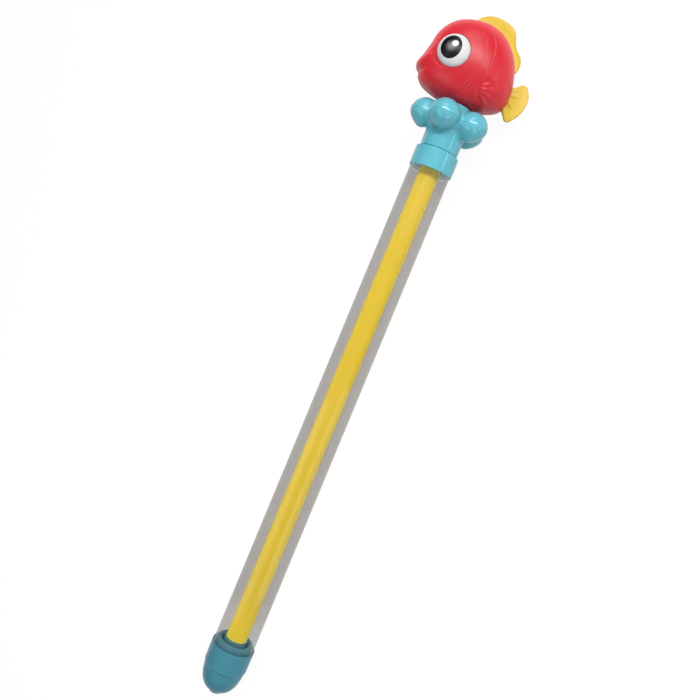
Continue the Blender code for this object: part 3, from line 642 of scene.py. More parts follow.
@dataclass(frozen=True)
class ClearPlastic:
    """Extruded clear tube: its near wall only shows along the edges, and its far wall is a smoky grey.

    Attributes:
        name: The material's name.
        smoke: The wall's own sRGB colour.
        near: How much the near wall's outer skin hides, by the slant from facing (0) to grazing (1).
        far: How much each skin of the far wall hides.
        lining: How much the near wall's inner skin hides, from the tube's foot (0) to its head (1).
        painted_glow: How strongly the wall glows with painted light that lifts its shade in the cap and the
            collar, from foot to head.
        mirror: The share of light that the near wall's outer skin mirrors.
        roughness: How much the gloss is spread.
    """

    name: str = "clear_polystyrene"
    smoke: str = "#A59F9E"
    near: Points = ((0.0, 0.03), (0.56, 0.04), (0.62, 0.5), (0.93, 0.53), (1.0, 0.78))
    far: float = 0.45
    lining: Points = (
        (0.0, 0.02), (0.08, 0.02), (0.12, 0.05), (0.25, 0.03),
        (0.75, 0.03), (0.9, 0.08), (1.0, 0.1),
    )
    painted_glow: Points = ((0.0, 0.12), (0.03, 0.12), (0.12, 0.0), (0.964, 0.0), (0.971, 0.3), (1.0, 0.3))
    mirror: float = 0.022
    roughness: float = 0.10

    def curve(
        self, tree: bpy.types.NodeTree, value: bpy.types.NodeSocket, knots: Points
    ) -> bpy.types.Node:
        """Reads a value off a curve.

        Args:
            tree: The node tree.
            value: The socket with the place along the curve.
            knots: Places along the curve and its values there.

        Returns:
            The node that gives the curve's value.
        """
        ramp = add_node(tree, "ValToRGB", {0: value})
        stops = ramp.color_ramp.elements
        for place, _ in knots[2:]:
            stops.new(place)
        for stop, (place, height) in zip(stops, knots):
            stop.position = place
            stop.color = (height, height, height, 1.0)
        return ramp

    def material(self) -> bpy.types.Material:
        """Makes the material.

        The ray meets the far wall where it enters the bore's skin or leaves the outer one.

        Returns:
            The new material.
        """
        material, tree = new_material(self.name)
        slant = add_node(tree, "LayerWeight", {"Blend": 0.5}).outputs["Facing"]
        behind = add_node(tree, "NewGeometry", {}).outputs["Backfacing"]
        rise, bore = (
            add_node(tree, "Attribute", {}, attribute_name=name).outputs["Fac"] for name in ("rise", "bore")
        )
        skin = self.curve(tree, slant, self.near)
        lining = self.curve(tree, rise, self.lining)
        unlike = add_node(tree, "Math", {0: bore, 1: behind}, operation="SUBTRACT")
        far = add_node(tree, "Math", {0: unlike}, operation="ABSOLUTE")
        near = add_node(tree, "Mix", {0: bore, 2: skin, 3: lining})
        cover = add_node(tree, "Mix", {0: far, 2: near, 3: self.far})
        values = {"Base Color": linear(self.smoke), "Specular IOR Level": 0.0, "Alpha": cover}
        # Painted glow: the wall's skins glow white inside the cap and the collar to brighten their shade.
        values["Emission Strength"] = self.curve(tree, rise, self.painted_glow)
        wall = add_node(tree, "BsdfPrincipled", values)
        gloss = add_node(tree, "BsdfAnisotropic", {"Roughness": self.roughness})
        hidden = add_node(tree, "Math", {0: bore, 1: behind}, operation="MAXIMUM")
        mirror = add_node(tree, "MapRange", {0: hidden, 3: self.mirror, 4: 0.0})
        shader = add_node(tree, "MixShader", {0: mirror, 1: wall, 2: gloss})
        add_node(tree, "OutputMaterial", {"Surface": shader})
        return material


@dataclass(frozen=True)
class Disc:
    """An ellipse of paint on the eye, in eye diameters from the dome's middle, towards the tail and up.

    Attributes:
        middle: Where it lies.
        size: Its half axes.
        start: Where its paint starts, as a share of the half axes.
        full: Where its paint covers fully, which lies further out for paint round the ellipse.
        paint: The paint's sRGB colour.
    """

    middle: Point
    size: Point
    start: float
    full: float
    paint: str


@dataclass(frozen=True)
class PrintedEye:
    """Glossy white moulding with a printed eye: a black pupil with a grey glow and a white glint.

    Attributes:
        name: The material's name.
        black: The pupil's sRGB colour, under all the discs.
        discs: The glow, the glint and the white round the pupil, in the order of printing.
        roughness: How much the gloss is spread.
        shine: How strong the gloss is.
    """

    name: str = "printed_eye"
    black: str = "#0B0A0E"
    discs: tuple[Disc, ...] = (
        Disc((-0.06, 0.02), (0.22, 0.22), 1.0, 0.0, "#84848A"),
        Disc((0.031, 0.122), (0.0995, 0.0995), 1.06, 0.9, "#E2E4E5"),
        Disc((-0.056, 0.012), (0.313, 0.355), 0.98, 1.02, "#E2E4E5"),
    )
    roughness: float = 0.34
    shine: float = 0.3

    def material(self) -> bpy.types.Material:
        """Makes the material from the discs on the dome's print map.

        Returns:
            The new material.
        """
        material, tree = new_material(self.name)
        place = add_node(tree, "UVMap", {}, uv_map="print")
        colour = linear(self.black)
        for disc in self.discs:
            middle = (0.5 + disc.middle[0], 0.5 + disc.middle[1], 0.0)
            ellipse = {"Vector": place, "Location": middle, "Scale": (*disc.size, 1.0)}
            inside = add_node(tree, "Mapping", ellipse, vector_type="TEXTURE")
            away = add_node(tree, "VectorMath", {0: inside}, operation="LENGTH").outputs["Value"]
            edge = {0: away, 1: disc.start, 2: disc.full}
            share = add_node(tree, "MapRange", edge, interpolation_type="SMOOTHSTEP")
            paints = {0: share, 6: colour, 7: linear(disc.paint)}
            colour = add_node(tree, "Mix", paints, data_type="RGBA").outputs[2]
        values = {"Base Color": colour, "Roughness": self.roughness, "Specular IOR Level": self.shine}
        shader = add_node(tree, "BsdfPrincipled", values)
        add_node(tree, "OutputMaterial", {"Surface": shader})
        return material


@dataclass(frozen=True)
class PlatedSteel:
    """Zinc-plated steel: a grey metal whose dull plating breaks the reflections up.

    Attributes:
        name: The material's name.
        colour: The plating's sRGB colour.
        spot_size: The width of its duller spots in millimetres, coarse enough to show.
        roughness: How much the gloss is spread in the clearest and the dullest spot.
    """

    name: str = "zinc_plated_steel"
    colour: str = "#B9BABD"
    spot_size: float = 0.8
    roughness: Point = (0.25, 0.45)

    def material(self) -> bpy.types.Material:
        """Makes the material: metal with a gloss that varies from spot to spot.

        Returns:
            The new material.
        """
        material, tree = new_material(self.name)
        place = add_node(tree, "TexCoord", {}).outputs["Object"]
        grain = {"Vector": place, "Scale": per_mm(self.spot_size), "Detail": 2.0}
        spots = add_node(tree, "TexNoise", grain).outputs["Fac"]
        gloss = add_node(tree, "MapRange", {0: spots, 3: self.roughness[0], 4: self.roughness[1]})
        values = {"Base Color": linear(self.colour), "Metallic": 1.0, "Roughness": gloss}
        shader = add_node(tree, "BsdfPrincipled", values)
        add_node(tree, "OutputMaterial", {"Surface": shader})
        return material


@dataclass(frozen=True)
class Palette:
    """The squirter's finishes, each made once."""

    clear: bpy.types.Material
    teal: bpy.types.Material
    deep_teal: bpy.types.Material
    rod: bpy.types.Material
    fin: bpy.types.Material
    red: bpy.types.Material
    eye: bpy.types.Material
    natural: bpy.types.Material
    rubber: bpy.types.Material
    steel: bpy.types.Material

    @classmethod
    def mixed(cls) -> "Palette":
        """Makes every material.

        Returns:
            The palette.
        """
        return cls(
            clear=ClearPlastic().material(),
            # From a polished mould: the knob and the collar carry small clear reflections.
            teal=MouldedPlastic("teal_abs", "#66C1D1", 0.19).material(),
            # From a duller mould: the nozzle and the piston stay deep, with a faint sheen.
            deep_teal=MouldedPlastic("deep_teal_abs", "#488B9D", 0.3, shine=0.25).material(),
            # Extruded and waxy: the rod's colour hardly falls off towards its edges.
            rod=MouldedPlastic("lemon_polypropylene", "#FDE22A", 0.35, chalk=0.6).material(),
            # From a satin mould: the fins have one broad, soft highlight.
            fin=MouldedPlastic("yellow_abs", "#E2BD2E", 0.38).material(),
            # Satin and dense with pigment: the shells shade evenly, and the hairlines carry a painted pale
            # highlight.
            red=MouldedPlastic("red_abs", "#E02938", 0.38, chalk=1.0, engraving=Engraving()).material(),
            eye=PrintedEye().material(),
            # Undyed nylon: ivory and nearly dull.
            natural=MouldedPlastic("natural_nylon", "#DDD9CD", 0.50).material(),
            # Moulded rubber: nearly black under a wide grey sheen.
            rubber=MouldedPlastic("nitrile_rubber", "#202022", 0.55).material(),
            steel=PlatedSteel().material(),
        )


# Barrel


@dataclass
class Barrel:
    """The clear tube with its nozzle cap and its collar. What isn't a field is measured on the nodes."""

    layout: Layout
    palette: Palette
    cap_edge: float = 0.55 * MM
    collar_edge: float = 0.5 * MM
    nose_step: float = 0.7 * MM
    nose_height: float = 18.8 * MM
    skirt_taper: float = 0.25 * MM
    boss_radius: float = 4.5 * MM
    boss_height: float = 2.0 * MM
    boss_foot: float = 0.6 * MM
    jet_depth: float = 4.4 * MM
    shoulder: float = 2.5 * MM
    guide_slack: float = 0.1 * MM
    ceiling: float = 2.45 * MM
    guide: float = 9.65 * MM

    def build(self) -> None:
        """Shapes the three pieces."""
        self.tube()
        self.cap()
        self.collar()

    def tube(self) -> None:
        """Turns the clear tube, which lets the light through to the rod."""
        inner, outer = self.layout.reach("barrel_tube")
        foot, head = self.layout.span("barrel_tube")
        piece = lathe("tube", pipe(inner, outer, foot, head), Ending.WALL)
        places = points_of(piece)
        set_value(piece, "bore", (np.hypot(*places[:, :2].T) < (inner + outer) / 2).astype(float))
        set_value(piece, "rise", (places[:, 2] - foot) / (head - foot))
        piece.visible_shadow = False
        self.layout.place(piece, Role(Body.BARREL, Slot.CLEAR, ("barrel_tube",)), self.palette.clear)

    def cap(self) -> None:
        """Turns the nozzle cap: a skirt with a thin rim, a step, a domed nose and the jet's boss."""
        jet, rim = self.layout.reach("nozzle_cap")
        tip, top = self.layout.span("nozzle_cap")
        socket = self.layout.reach("barrel_tube")[1] + self.guide_slack
        seat = self.layout.span("nozzle_gasket")[0] - self.guide_slack
        skirt = rim - self.skirt_taper
        nose = skirt - self.nose_step
        chamber = socket - self.shoulder
        step = tip + self.nose_height
        boss = self.boss_radius
        foot = boss + self.boss_foot
        roof = tip + self.jet_depth
        profile = [(rim, top), (skirt, step), (nose, step - self.nose_step)]
        dome = arc((foot, step), (nose - foot, step - tip - self.boss_height), 0.0, -90.0, count=22)
        profile += [point for point in dome if point[1] < step - 2 * self.nose_step]
        profile += [(boss, tip + self.boss_height - self.boss_foot), (boss, tip), (jet, tip), (jet, roof)]
        profile += arc((jet, seat), (chamber - jet, seat - roof), -75.0, 0.0, count=8)
        profile += [(socket, seat), (socket, top)]
        piece = lathe("nozzle", profile, Ending.WALL)
        soften(piece, self.cap_edge)
        self.layout.place(piece, Role(Body.BARREL, Slot.TEAL, ("nozzle_cap",)), self.palette.deep_teal)

    def collar(self) -> None:
        """Turns the collar: a ring round the tube's head and the sleeve inside that guides the rod."""
        bore, outer = self.layout.reach("collar")
        foot, top = self.layout.span("collar")
        inside, outside = self.layout.reach("barrel_tube")
        roof = top - self.ceiling
        sleeve = inside - self.guide_slack
        socket = outside + self.guide_slack
        sole = top - self.ceiling - self.guide
        profile = [(outer, top), (outer, foot), (socket, foot), (socket, roof)]
        profile += [(sleeve, roof), (sleeve, sole), (bore, sole), (bore, top)]
        piece = lathe("rod_guide", profile, Ending.WALL)
        soften(piece, self.collar_edge)
        self.layout.place(piece, Role(Body.BARREL, Slot.TEAL, ("collar",)), self.palette.teal)


# Plunger


@dataclass
class Plunger:
    """The piston with its seal, and the rod. What isn't a field is measured on the nodes."""

    layout: Layout
    palette: Palette
    piston_edge: float = 0.15 * MM
    rod_edge: float = 0.3 * MM
    hub_wall: float = 0.7 * MM
    hub_slack: float = 0.1 * MM
    recess: float = 1.3 * MM
    recess_floor: float = 0.7 * MM
    base: float = 4.5 * MM
    lip_drop: float = 1.5 * MM
    groove: float = 2.3 * MM
    groove_foot: float = 1.1 * MM
    groove_height: float = 2.6 * MM

    def build(self) -> None:
        """Shapes the three pieces."""
        self.piston()
        self.seal()
        self.rod()

    def piston(self) -> None:
        """Turns the piston: a rounded lip, a deep recess and the hub that the rod sits in."""
        hole, skirt = self.layout.reach("piston")
        foot, top = self.layout.span("piston")
        socket = self.layout.reach("plunger_rod")[1] + self.hub_slack
        well = self.layout.reach("piston_washer")[1] + 2 * self.hub_slack
        well_head = self.layout.span("piston_washer")[1] + self.hub_slack
        hub = socket + self.hub_wall
        lip_inner = hub + self.recess
        lip = (skirt - lip_inner) / 2
        floor = foot + self.base
        trough = floor + self.recess_floor
        seal = skirt - self.groove
        seal_foot = foot + self.groove_foot
        seal_head = seal_foot + self.groove_height
        profile = arc((lip_inner + lip, top - self.lip_drop - lip), (lip, lip), 180.0, 0.0, count=16)
        profile += [(skirt, seal_head), (seal, seal_head), (seal, seal_foot), (skirt, seal_foot)]
        profile += [(skirt, foot), (well, foot), (well, well_head), (hole, well_head), (hole, floor)]
        profile += [(socket, floor), (socket, top), (hub, top), (hub, trough), (lip_inner, trough)]
        piece = lathe("piston_body", profile, Ending.WALL)
        soften(piece, self.piston_edge)
        self.layout.place(piece, Role(Body.PISTON, Slot.TEAL, ("piston",)), self.palette.deep_teal)

    def seal(self) -> None:
        """Turns the O-ring."""
        inner, outer = self.layout.reach("piston_o_ring")
        low, high = self.layout.span("piston_o_ring")
        centre = ((inner + outer) / 2, (low + high) / 2)
        profile = arc(centre, ((outer - inner) / 2, (high - low) / 2), 0.0, 345.0, count=24)
        piece = lathe("seal_ring", profile, Ending.WALL)
        role = Role(Body.PISTON, Slot.RUBBER, ("piston_o_ring",))
        self.layout.place(piece, role, self.palette.rubber)

    def rod(self) -> None:
        """Turns the hollow yellow rod."""
        section = pipe(*self.layout.reach("plunger_rod"), *self.layout.span("plunger_rod"))
        piece = lathe("rod", section, Ending.WALL)
        soften(piece, self.rod_edge)
        self.layout.place(piece, Role(Body.HANDLE, Slot.YELLOW, ("plunger_rod",)), self.palette.rod)


# Coral knob


@dataclass
class CoralKnob:
    """The teal knob under the fish: a neck that opens into a ring of soft lobes, moulded in two halves."""

    layout: Layout
    palette: Palette
    lobe_count: int = 5
    lobe_radius: float = 10.4 * MM
    lobe_grid: tuple[int, int] = (64, 32)
    petal_length: float = 10.2 * MM
    petal_pull: float = -0.3 * MM
    petal_pinch: float = 0.42
    neck_radius: float = 13.2 * MM
    neck_flare: float = 0.4 * MM
    core_radius: float = 19.0 * MM
    core_height: Point = (-1.5 * MM, 2.5 * MM)
    core_foot: float = 8.0 * MM
    seat_radius: float = 9.5 * MM
    seat_flare: float = 1.0 * MM
    seat_gap: float = 0.3 * MM
    seam_band: float = 0.05 * MM
    seam_inset: float = 0.9983
    seam_gap: float = 0.015 * MM
    groove_depth: float = 0.4 * MM
    groove_height: float = 0.7 * MM
    voxel: float = 0.45 * MM
    relaxing: int = 12
    shrinkage: float = 0.08 * MM
    pocket_inner: float = 9.2 * MM
    pocket_outer: float = 11.2 * MM
    pocket_depth: float = 9.7 * MM

    def __post_init__(self) -> None:
        """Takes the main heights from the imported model."""
        self.foot, self.seam = self.layout.span("coral_lower")
        self.seat = self.layout.span("fish_left")[0] - self.seat_gap
        self.circle = self.layout.reach("coral_lower")[1] - self.lobe_radius

    def build(self) -> None:
        """Shapes both mouldings."""
        self.lower()
        self.upper()

    def lobe(self, index: int) -> bpy.types.Object:
        """One lobe: a ball above the seam that tapers to a petal towards the neck below it.

        Args:
            index: The lobe's number round the axis.

        Returns:
            The mesh object.
        """
        angle = math.pi + 2.0 * math.pi * index / self.lobe_count
        radius = self.lobe_radius + self.shrinkage
        segments, rings = self.lobe_grid
        bpy.ops.object.select_all(action="DESELECT")
        bpy.ops.mesh.primitive_uv_sphere_add(segments=segments, ring_count=rings, radius=radius)
        piece = bpy.context.active_object
        places = points_of(piece)
        depth = np.clip(-places[:, 2] / radius, 0.0, 1.0)
        slim = 1.0 - self.petal_pinch * depth**2
        lowered = places[:, 2] < 0.0
        places[:, 0] = places[:, 0] * slim + self.circle - self.petal_pull * depth**2
        places[:, 1] *= slim
        places[lowered, 2] *= self.petal_length / radius
        move_points(piece, places)
        piece.data.transform(Matrix.Translation((0.0, 0.0, self.seam)) @ Matrix.Rotation(angle, 4, "Z"))
        return piece

    def body(self, name: str) -> bpy.types.Object:
        """The whole knob as one soft skin, longer at both ends than it ends up.

        Args:
            name: The new object's name.

        Returns:
            The mesh object.
        """
        spare = 4 * self.relaxing**0.5 * self.voxel
        neck = self.neck_radius + self.shrinkage / 2
        profile = [
            (neck, self.foot - spare),
            (neck, self.foot),
            (neck + self.neck_flare, self.seam - self.core_foot),
            (self.core_radius, self.seam + self.core_height[0]),
            (self.core_radius, self.seam + self.core_height[1]),
            (self.seat_radius + self.seat_flare, self.seat - self.seat_flare),
            (self.seat_radius, self.seat + spare),
        ]
        core = lathe(name, profile, Ending.CAPPED)
        lobes = [self.lobe(index) for index in range(self.lobe_count)]
        activate(core)
        for lobe in lobes:
            lobe.select_set(True)
        bpy.ops.object.join()
        one_skin(core, self.voxel, self.relaxing)
        return core

    def moulding(self, name: str, half: Half) -> bpy.types.Object:
        """One moulding with a fine chamfer along the seam.

        Args:
            name: The new object's name.
            half: Which of the two it is.

        Returns:
            The closed mesh object.
        """
        piece = self.body(name)
        up = half.value
        end = self.seat if half is Half.UPPER else self.foot
        keep_above(piece, (0.0, 0.0, end), (0.0, 0.0, -up), True)
        keep_above(piece, (0.0, 0.0, self.seam + up * self.seam_band), (0.0, 0.0, up), False)
        rim = (0.0, 0.0, up * (self.seam_gap / 2 - self.seam_band))
        inset = (self.seam_inset, self.seam_inset, 1.0)
        with editing(piece, "DESELECT"):
            bpy.ops.mesh.select_non_manifold()
            bpy.ops.mesh.extrude_region_move(TRANSFORM_OT_translate={"value": rim})
            bpy.ops.transform.resize(value=inset, center_override=(0.0, 0.0, self.seam))
        close_up(piece)
        return piece

    def lower(self) -> None:
        """The neck with the lobes' lower halves, hollow round the rod's socket."""
        piece = self.moulding("coral_neck", Half.LOWER)
        below = self.foot - self.pocket_depth
        roof = self.foot + self.pocket_depth
        bore = self.layout.reach("plunger_rod")[1]
        rod_head = self.layout.span("plunger_rod")[1]
        pocket = pipe(self.pocket_inner, self.pocket_outer, below, roof)
        carve(piece, lathe("neck_pocket", pocket, Ending.WALL))
        carve(piece, lathe("rod_socket", [(bore, below), (bore, rod_head)], Ending.CAPPED))
        waist = self.neck_radius - self.groove_depth
        groove = pipe(waist, 2 * self.neck_radius, below, self.foot + self.groove_height)
        carve(piece, lathe("foot_groove", groove, Ending.WALL))
        self.layout.place(piece, Role(Body.HANDLE, Slot.TEAL, ("coral_lower",)), self.palette.teal)

    def upper(self) -> None:
        """The lobes' upper halves with the seat under the fish."""
        piece = self.moulding("coral_crown", Half.UPPER)
        self.layout.place(piece, Role(Body.HANDLE, Slot.TEAL, ("coral_upper",)), self.palette.teal)


# Fish


@dataclass(frozen=True)
class Stroke:
    """A line pressed into the fish's flank, or raised from it, in the fish's own millimetres.

    Attributes:
        points: Places along the line, forward (-) or back (+) of the axis and up from the belly.
        height: How far the line stands out, or below 0 how deep it is.
        width: How far from the line its shape fades.
        fade: What is left of the height at the first and the last point.
        pieces: How many straight pieces stand for the curve between two points.
    """

    points: Points
    height: float
    width: float
    fade: Point = (1.0, 1.0)
    pieces: int = 8

    def relief(self, places: np.ndarray) -> np.ndarray:
        """The line's height at many places.

        Args:
            places: One row of two numbers for each place.

        Returns:
            The heights in millimetres.
        """
        knots = np.array(self.points)
        last = len(knots) - 1
        steps = np.linspace(0.0, last, self.pieces * last + 1)
        path = np.stack([hermite(np.arange(len(knots)), knots[:, i], steps) for i in (0, 1)], axis=1)
        best = np.full(len(places), np.inf)
        along = np.zeros(len(places))
        for index, (start, stop) in enumerate(zip(path[:-1], path[1:])):
            run = stop - start
            share = np.clip((places - start) @ run / (run @ run), 0.0, 1.0)
            gap = np.hypot(*(places - start - share[:, None] * run).T)
            nearer = gap < best
            best = np.where(nearer, gap, best)
            along = np.where(nearer, (index + share) / (len(path) - 1), along)
        left = self.fade[0] + (self.fade[1] - self.fade[0]) * along
        return self.height * left * np.exp(-((best / self.width) ** 2))


@dataclass(frozen=True)
class FishForm:
    """The fish's body as a formula, in millimetres from the axis and up from the belly.

    Attributes:
        outline: Places round the body as seen from the side, from the upper lip over the back.
        middle: The place that the outline is measured from.
        half_width: The body's half width at the middle.
        fullness: How boxy its cross-section is, where 2 is an ellipse.
    """

    outline: Points = (
        (-36.2, 15.9), (-34.6, 22.6), (-32.6, 30.5), (-30.4, 41.2), (-24.0, 50.7), (-10.2, 57.3),
        (0.0, 58.1), (9.1, 55.8), (21.1, 46.4), (27.8, 33.3), (30.4, 20.0), (28.7, 9.0),
        (18.6, 2.6), (0.0, 0.0), (-20.0, 1.6), (-29.6, 6.0), (-32.4, 9.4), (-33.6, 12.2),
    )
    middle: Point = (-1.0, 29.0)
    half_width: float = 24.5
    fullness: float = 2.2

    def radius(self, angle: np.ndarray) -> np.ndarray:
        """The distance from the middle to the outline.

        Args:
            angle: Directions in radians, from the tail towards up.

        Returns:
            The distances.
        """
        offsets = np.array(self.outline) - np.array(self.middle)
        angles = np.arctan2(offsets[:, 1], offsets[:, 0])
        order = np.argsort(angles)
        angles, radii = angles[order], np.hypot(*offsets.T)[order]
        turn = 2.0 * math.pi
        wrap = 3
        angles = np.concatenate([angles[-wrap:] - turn, angles, angles[:wrap] + turn])
        radii = np.concatenate([radii[-wrap:], radii, radii[:wrap]])
        return hermite(angles, radii, angle)

    def share(self, places: np.ndarray) -> np.ndarray:
        """How far places lie from the middle, as a share of the way to the outline.

        Args:
            places: One row of two numbers for each place.

        Returns:
            The shares, which are 1 on the outline.
        """
        offsets = places - np.array(self.middle)
        return np.hypot(*offsets.T) / self.radius(np.arctan2(offsets[:, 1], offsets[:, 0]))

    def width(self, share: np.ndarray) -> np.ndarray:
        """The half width at shares of the way to the outline."""
        return self.half_width * (1.0 - np.minimum(share, 1.0) ** self.fullness) ** (1.0 / self.fullness)


@dataclass(frozen=True)
class EyeForm:
    """The eye's place and shape, in the fish's millimetres.

    Attributes:
        place: Its middle on the flank.
        radius: The dome's radius.
        dome: The dome's height.
        sink: How far the dome's foot lies in the flank.
        edge: The straight edge under the dome.
        slack: The gap round it in its pocket.
        pocket: How far the pocket's cut reaches out of the head.
        toe_in: How far it looks forward.
    """

    place: Point = (-16.0, 27.3)
    radius: float = 11.05
    dome: float = 6.2
    sink: float = 1.8
    edge: float = 2.2
    slack: float = 0.26
    pocket: float = 20.0
    toe_in: float = math.radians(14.0)

    @property
    def back(self) -> float:
        """The height of the eye's back in its own frame, in metres."""
        return -(self.sink + self.edge) * MM

    def frame(self, form: FishForm, belly: float, side: Side) -> Matrix:
        """The eye's own frame: Z out of the head, X towards the tail on the left side, and Y up.

        Args:
            form: The fish's body.
            belly: The belly's height in metres.
            side: The side of the fish.

        Returns:
            The frame in the upright squirter.
        """
        depth = float(form.width(form.share(np.array([self.place])))[0])
        out = Vector((-math.sin(self.toe_in), side.value * math.cos(self.toe_in), 0.0))
        up = Vector((0.0, 0.0, 1.0))
        turn = Matrix((up.cross(out), up, out)).transposed().to_4x4()
        middle = (self.place[0] * MM, side.value * depth * MM, belly + self.place[1] * MM)
        return Matrix.Translation(middle) @ turn


@dataclass(frozen=True)
class FishRelief:
    """What is modelled on the flanks: the mouth, the brow, the eyelid and the side fin."""

    eye: EyeForm
    strokes: tuple[Stroke, ...] = (
        # Mouth: the upper lip hangs over a soft crease that runs out under the eye.
        Stroke(
            ((-34.5, 11.6), (-32.6, 11.3), (-30.4, 11.9), (-28.0, 12.9), (-25.5, 13.9), (-22.5, 15.2)),
            height=-0.75, width=1.2, fade=(1.0, 0.0),
        ),
        Stroke(
            ((-33.0, 14.6), (-30.5, 14.8), (-28.0, 15.6), (-25.0, 16.8)),
            height=0.55, width=1.9, fade=(0.5, 0.0),
        ),
        # Brow: a soft ridge from the lip up before the eye.
        Stroke(
            ((-30.5, 21.0), (-29.0, 27.0), (-27.6, 32.5)),
            height=0.35, width=2.0, fade=(0.6, 0.2),
        ),
    )
    lid_from: float = math.radians(-158.0)
    lid_to: float = math.radians(-118.0)
    lid_fade: float = math.radians(18.0)
    lid_gap: float = 1.45
    lid_depth: float = 0.4
    lid_width: float = 0.6
    fan_middle: Point = (15.4, 11.0)
    fan_size: Point = (6.6, 6.0)
    fan_root: Point = (6.5, 11.0)
    fan_height: float = 2.6
    fan_sink: float = 9.0
    fan_fall: float = 0.75
    rib_angles: Point = (math.radians(-54.0), math.radians(36.0))
    ribs: int = 4
    rib_depth: float = 0.55
    rib_start: float = 2.5

    def eyelid(self, places: np.ndarray) -> np.ndarray:
        """The fold before and under the eye, with the ridge that it leaves along the eye.

        Args:
            places: One row of two numbers for each place.

        Returns:
            The heights in millimetres.
        """
        offsets = places - np.array(self.eye.place)
        gap = np.hypot(*offsets.T) - self.eye.radius
        angle = np.arctan2(offsets[:, 1], offsets[:, 0])
        start = smooth_step((angle - self.lid_from + self.lid_fade) / self.lid_fade)
        stop = smooth_step((self.lid_to + self.lid_fade - angle) / self.lid_fade)
        fold = -self.lid_depth * np.exp(-(((gap - self.lid_gap) / self.lid_width) ** 2))
        ridge = self.lid_depth / 2 * np.exp(-(((gap - self.lid_gap / 3) / self.lid_width) ** 2))
        return (fold + ridge) * start * stop

    def fan(self, places: np.ndarray) -> np.ndarray:
        """The side fin: a flat cushion with spread ribs, steep at its root and sunk in at its end.

        Args:
            places: One row of two numbers for each place.

        Returns:
            The heights in millimetres.
        """
        inside = np.hypot(*((places - np.array(self.fan_middle)) / np.array(self.fan_size)).T)
        cushion = np.sqrt(np.clip(1.0 - inside**2, 0.0, 1.0))
        behind = (places[:, 0] - self.fan_middle[0] + self.fan_size[0]) / self.fan_sink
        offsets = places - np.array(self.fan_root)
        angle = np.arctan2(offsets[:, 1], offsets[:, 0])
        low, high = self.rib_angles
        rib = (np.cos(2.0 * math.pi * self.ribs * (angle - low) / (high - low)) - 1.0) / 2.0
        held = smooth_step(2.0 * cushion) * smooth_step(np.hypot(*offsets.T) / self.rib_start - 1.0)
        sunk = 1.0 - self.fan_fall * smooth_step(behind)
        return cushion * self.fan_height * sunk + self.rib_depth * rib * held

    def height(self, places: np.ndarray) -> np.ndarray:
        """All relief together.

        Args:
            places: One row of two numbers for each place.

        Returns:
            The heights in millimetres.
        """
        forms = self.eyelid(places) + self.fan(places)
        return sum((stroke.relief(places) for stroke in self.strokes), forms)


@dataclass(frozen=True)
class FinForm:
    """A fin's outline and the rays pressed into it, in the fish's millimetres.

    Attributes:
        outline: Places round the fin, with the tab inside the body.
        root: Where its rays meet.
        rays: The direction of each ray in degrees and how deep it is pressed.
        thickness: The fin's thickness at the body.
        tip: What is left of the thickness at the fin's edge, as a share.
        overhang: How far past the body's outline the tip's thickness is reached, as a share.
        ray_width: How far from a ray its shape fades.
        ray_end: How far from the root the rays have run out.
        ray_spread: The angle in radians that a turn from a ray is held to, so that rays run one way.
    """

    outline: Points
    root: Point
    rays: Points
    thickness: float = 4.5
    tip: float = 0.55
    overhang: float = 0.3
    ray_width: float = 0.8
    ray_end: float = 16.0
    ray_spread: float = 1.5

    def press(self, places: np.ndarray) -> np.ndarray:
        """How deep the rays are pressed at many places.

        Args:
            places: One row of two numbers for each place.

        Returns:
            The depths in millimetres.
        """
        offsets = places - np.array(self.root)
        reach = np.hypot(*offsets.T)
        angle = np.arctan2(offsets[:, 1], offsets[:, 0])
        left = smooth_step(2.0 - 2.0 * reach / self.ray_end)
        depths = np.zeros(len(places))
        for ray, depth in self.rays:
            off = np.clip(angle - math.radians(ray), -self.ray_spread, self.ray_spread)
            depths += depth * np.exp(-((reach * np.sin(off) / self.ray_width) ** 2)) * left
        return depths


DORSAL = FinForm(
    outline=(
        (-9.0, 59.4), (-5.6, 63.0), (0.0, 65.6), (6.4, 66.0), (12.9, 64.5), (17.3, 61.6),
        (20.8, 54.2), (22.1, 51.6), (27.9, 45.2), (28.9, 40.9), (27.5, 35.5), (24.5, 35.0),
        (16.0, 42.5), (9.5, 41.0), (2.0, 41.5), (0.5, 47.5), (-8.0, 55.0),
    ),
    root=(4.0, 42.0),
    rays=((62.0, 0.1), (84.0, 0.1)),
)
TAIL = FinForm(
    outline=(
        (30.7, 26.2), (37.1, 30.5), (42.1, 25.2), (43.0, 20.2), (42.1, 13.7), (39.3, 8.0), (34.2, 3.3),
        (30.7, 6.6), (28.2, 9.6), (24.0, 12.2), (17.3, 12.7), (17.3, 24.3), (24.0, 24.9),
    ),
    root=(24.0, 19.0),
    rays=((-36.5, 1.0), (-18.0, 0.15), (2.0, 0.45), (26.0, 0.15)),
)


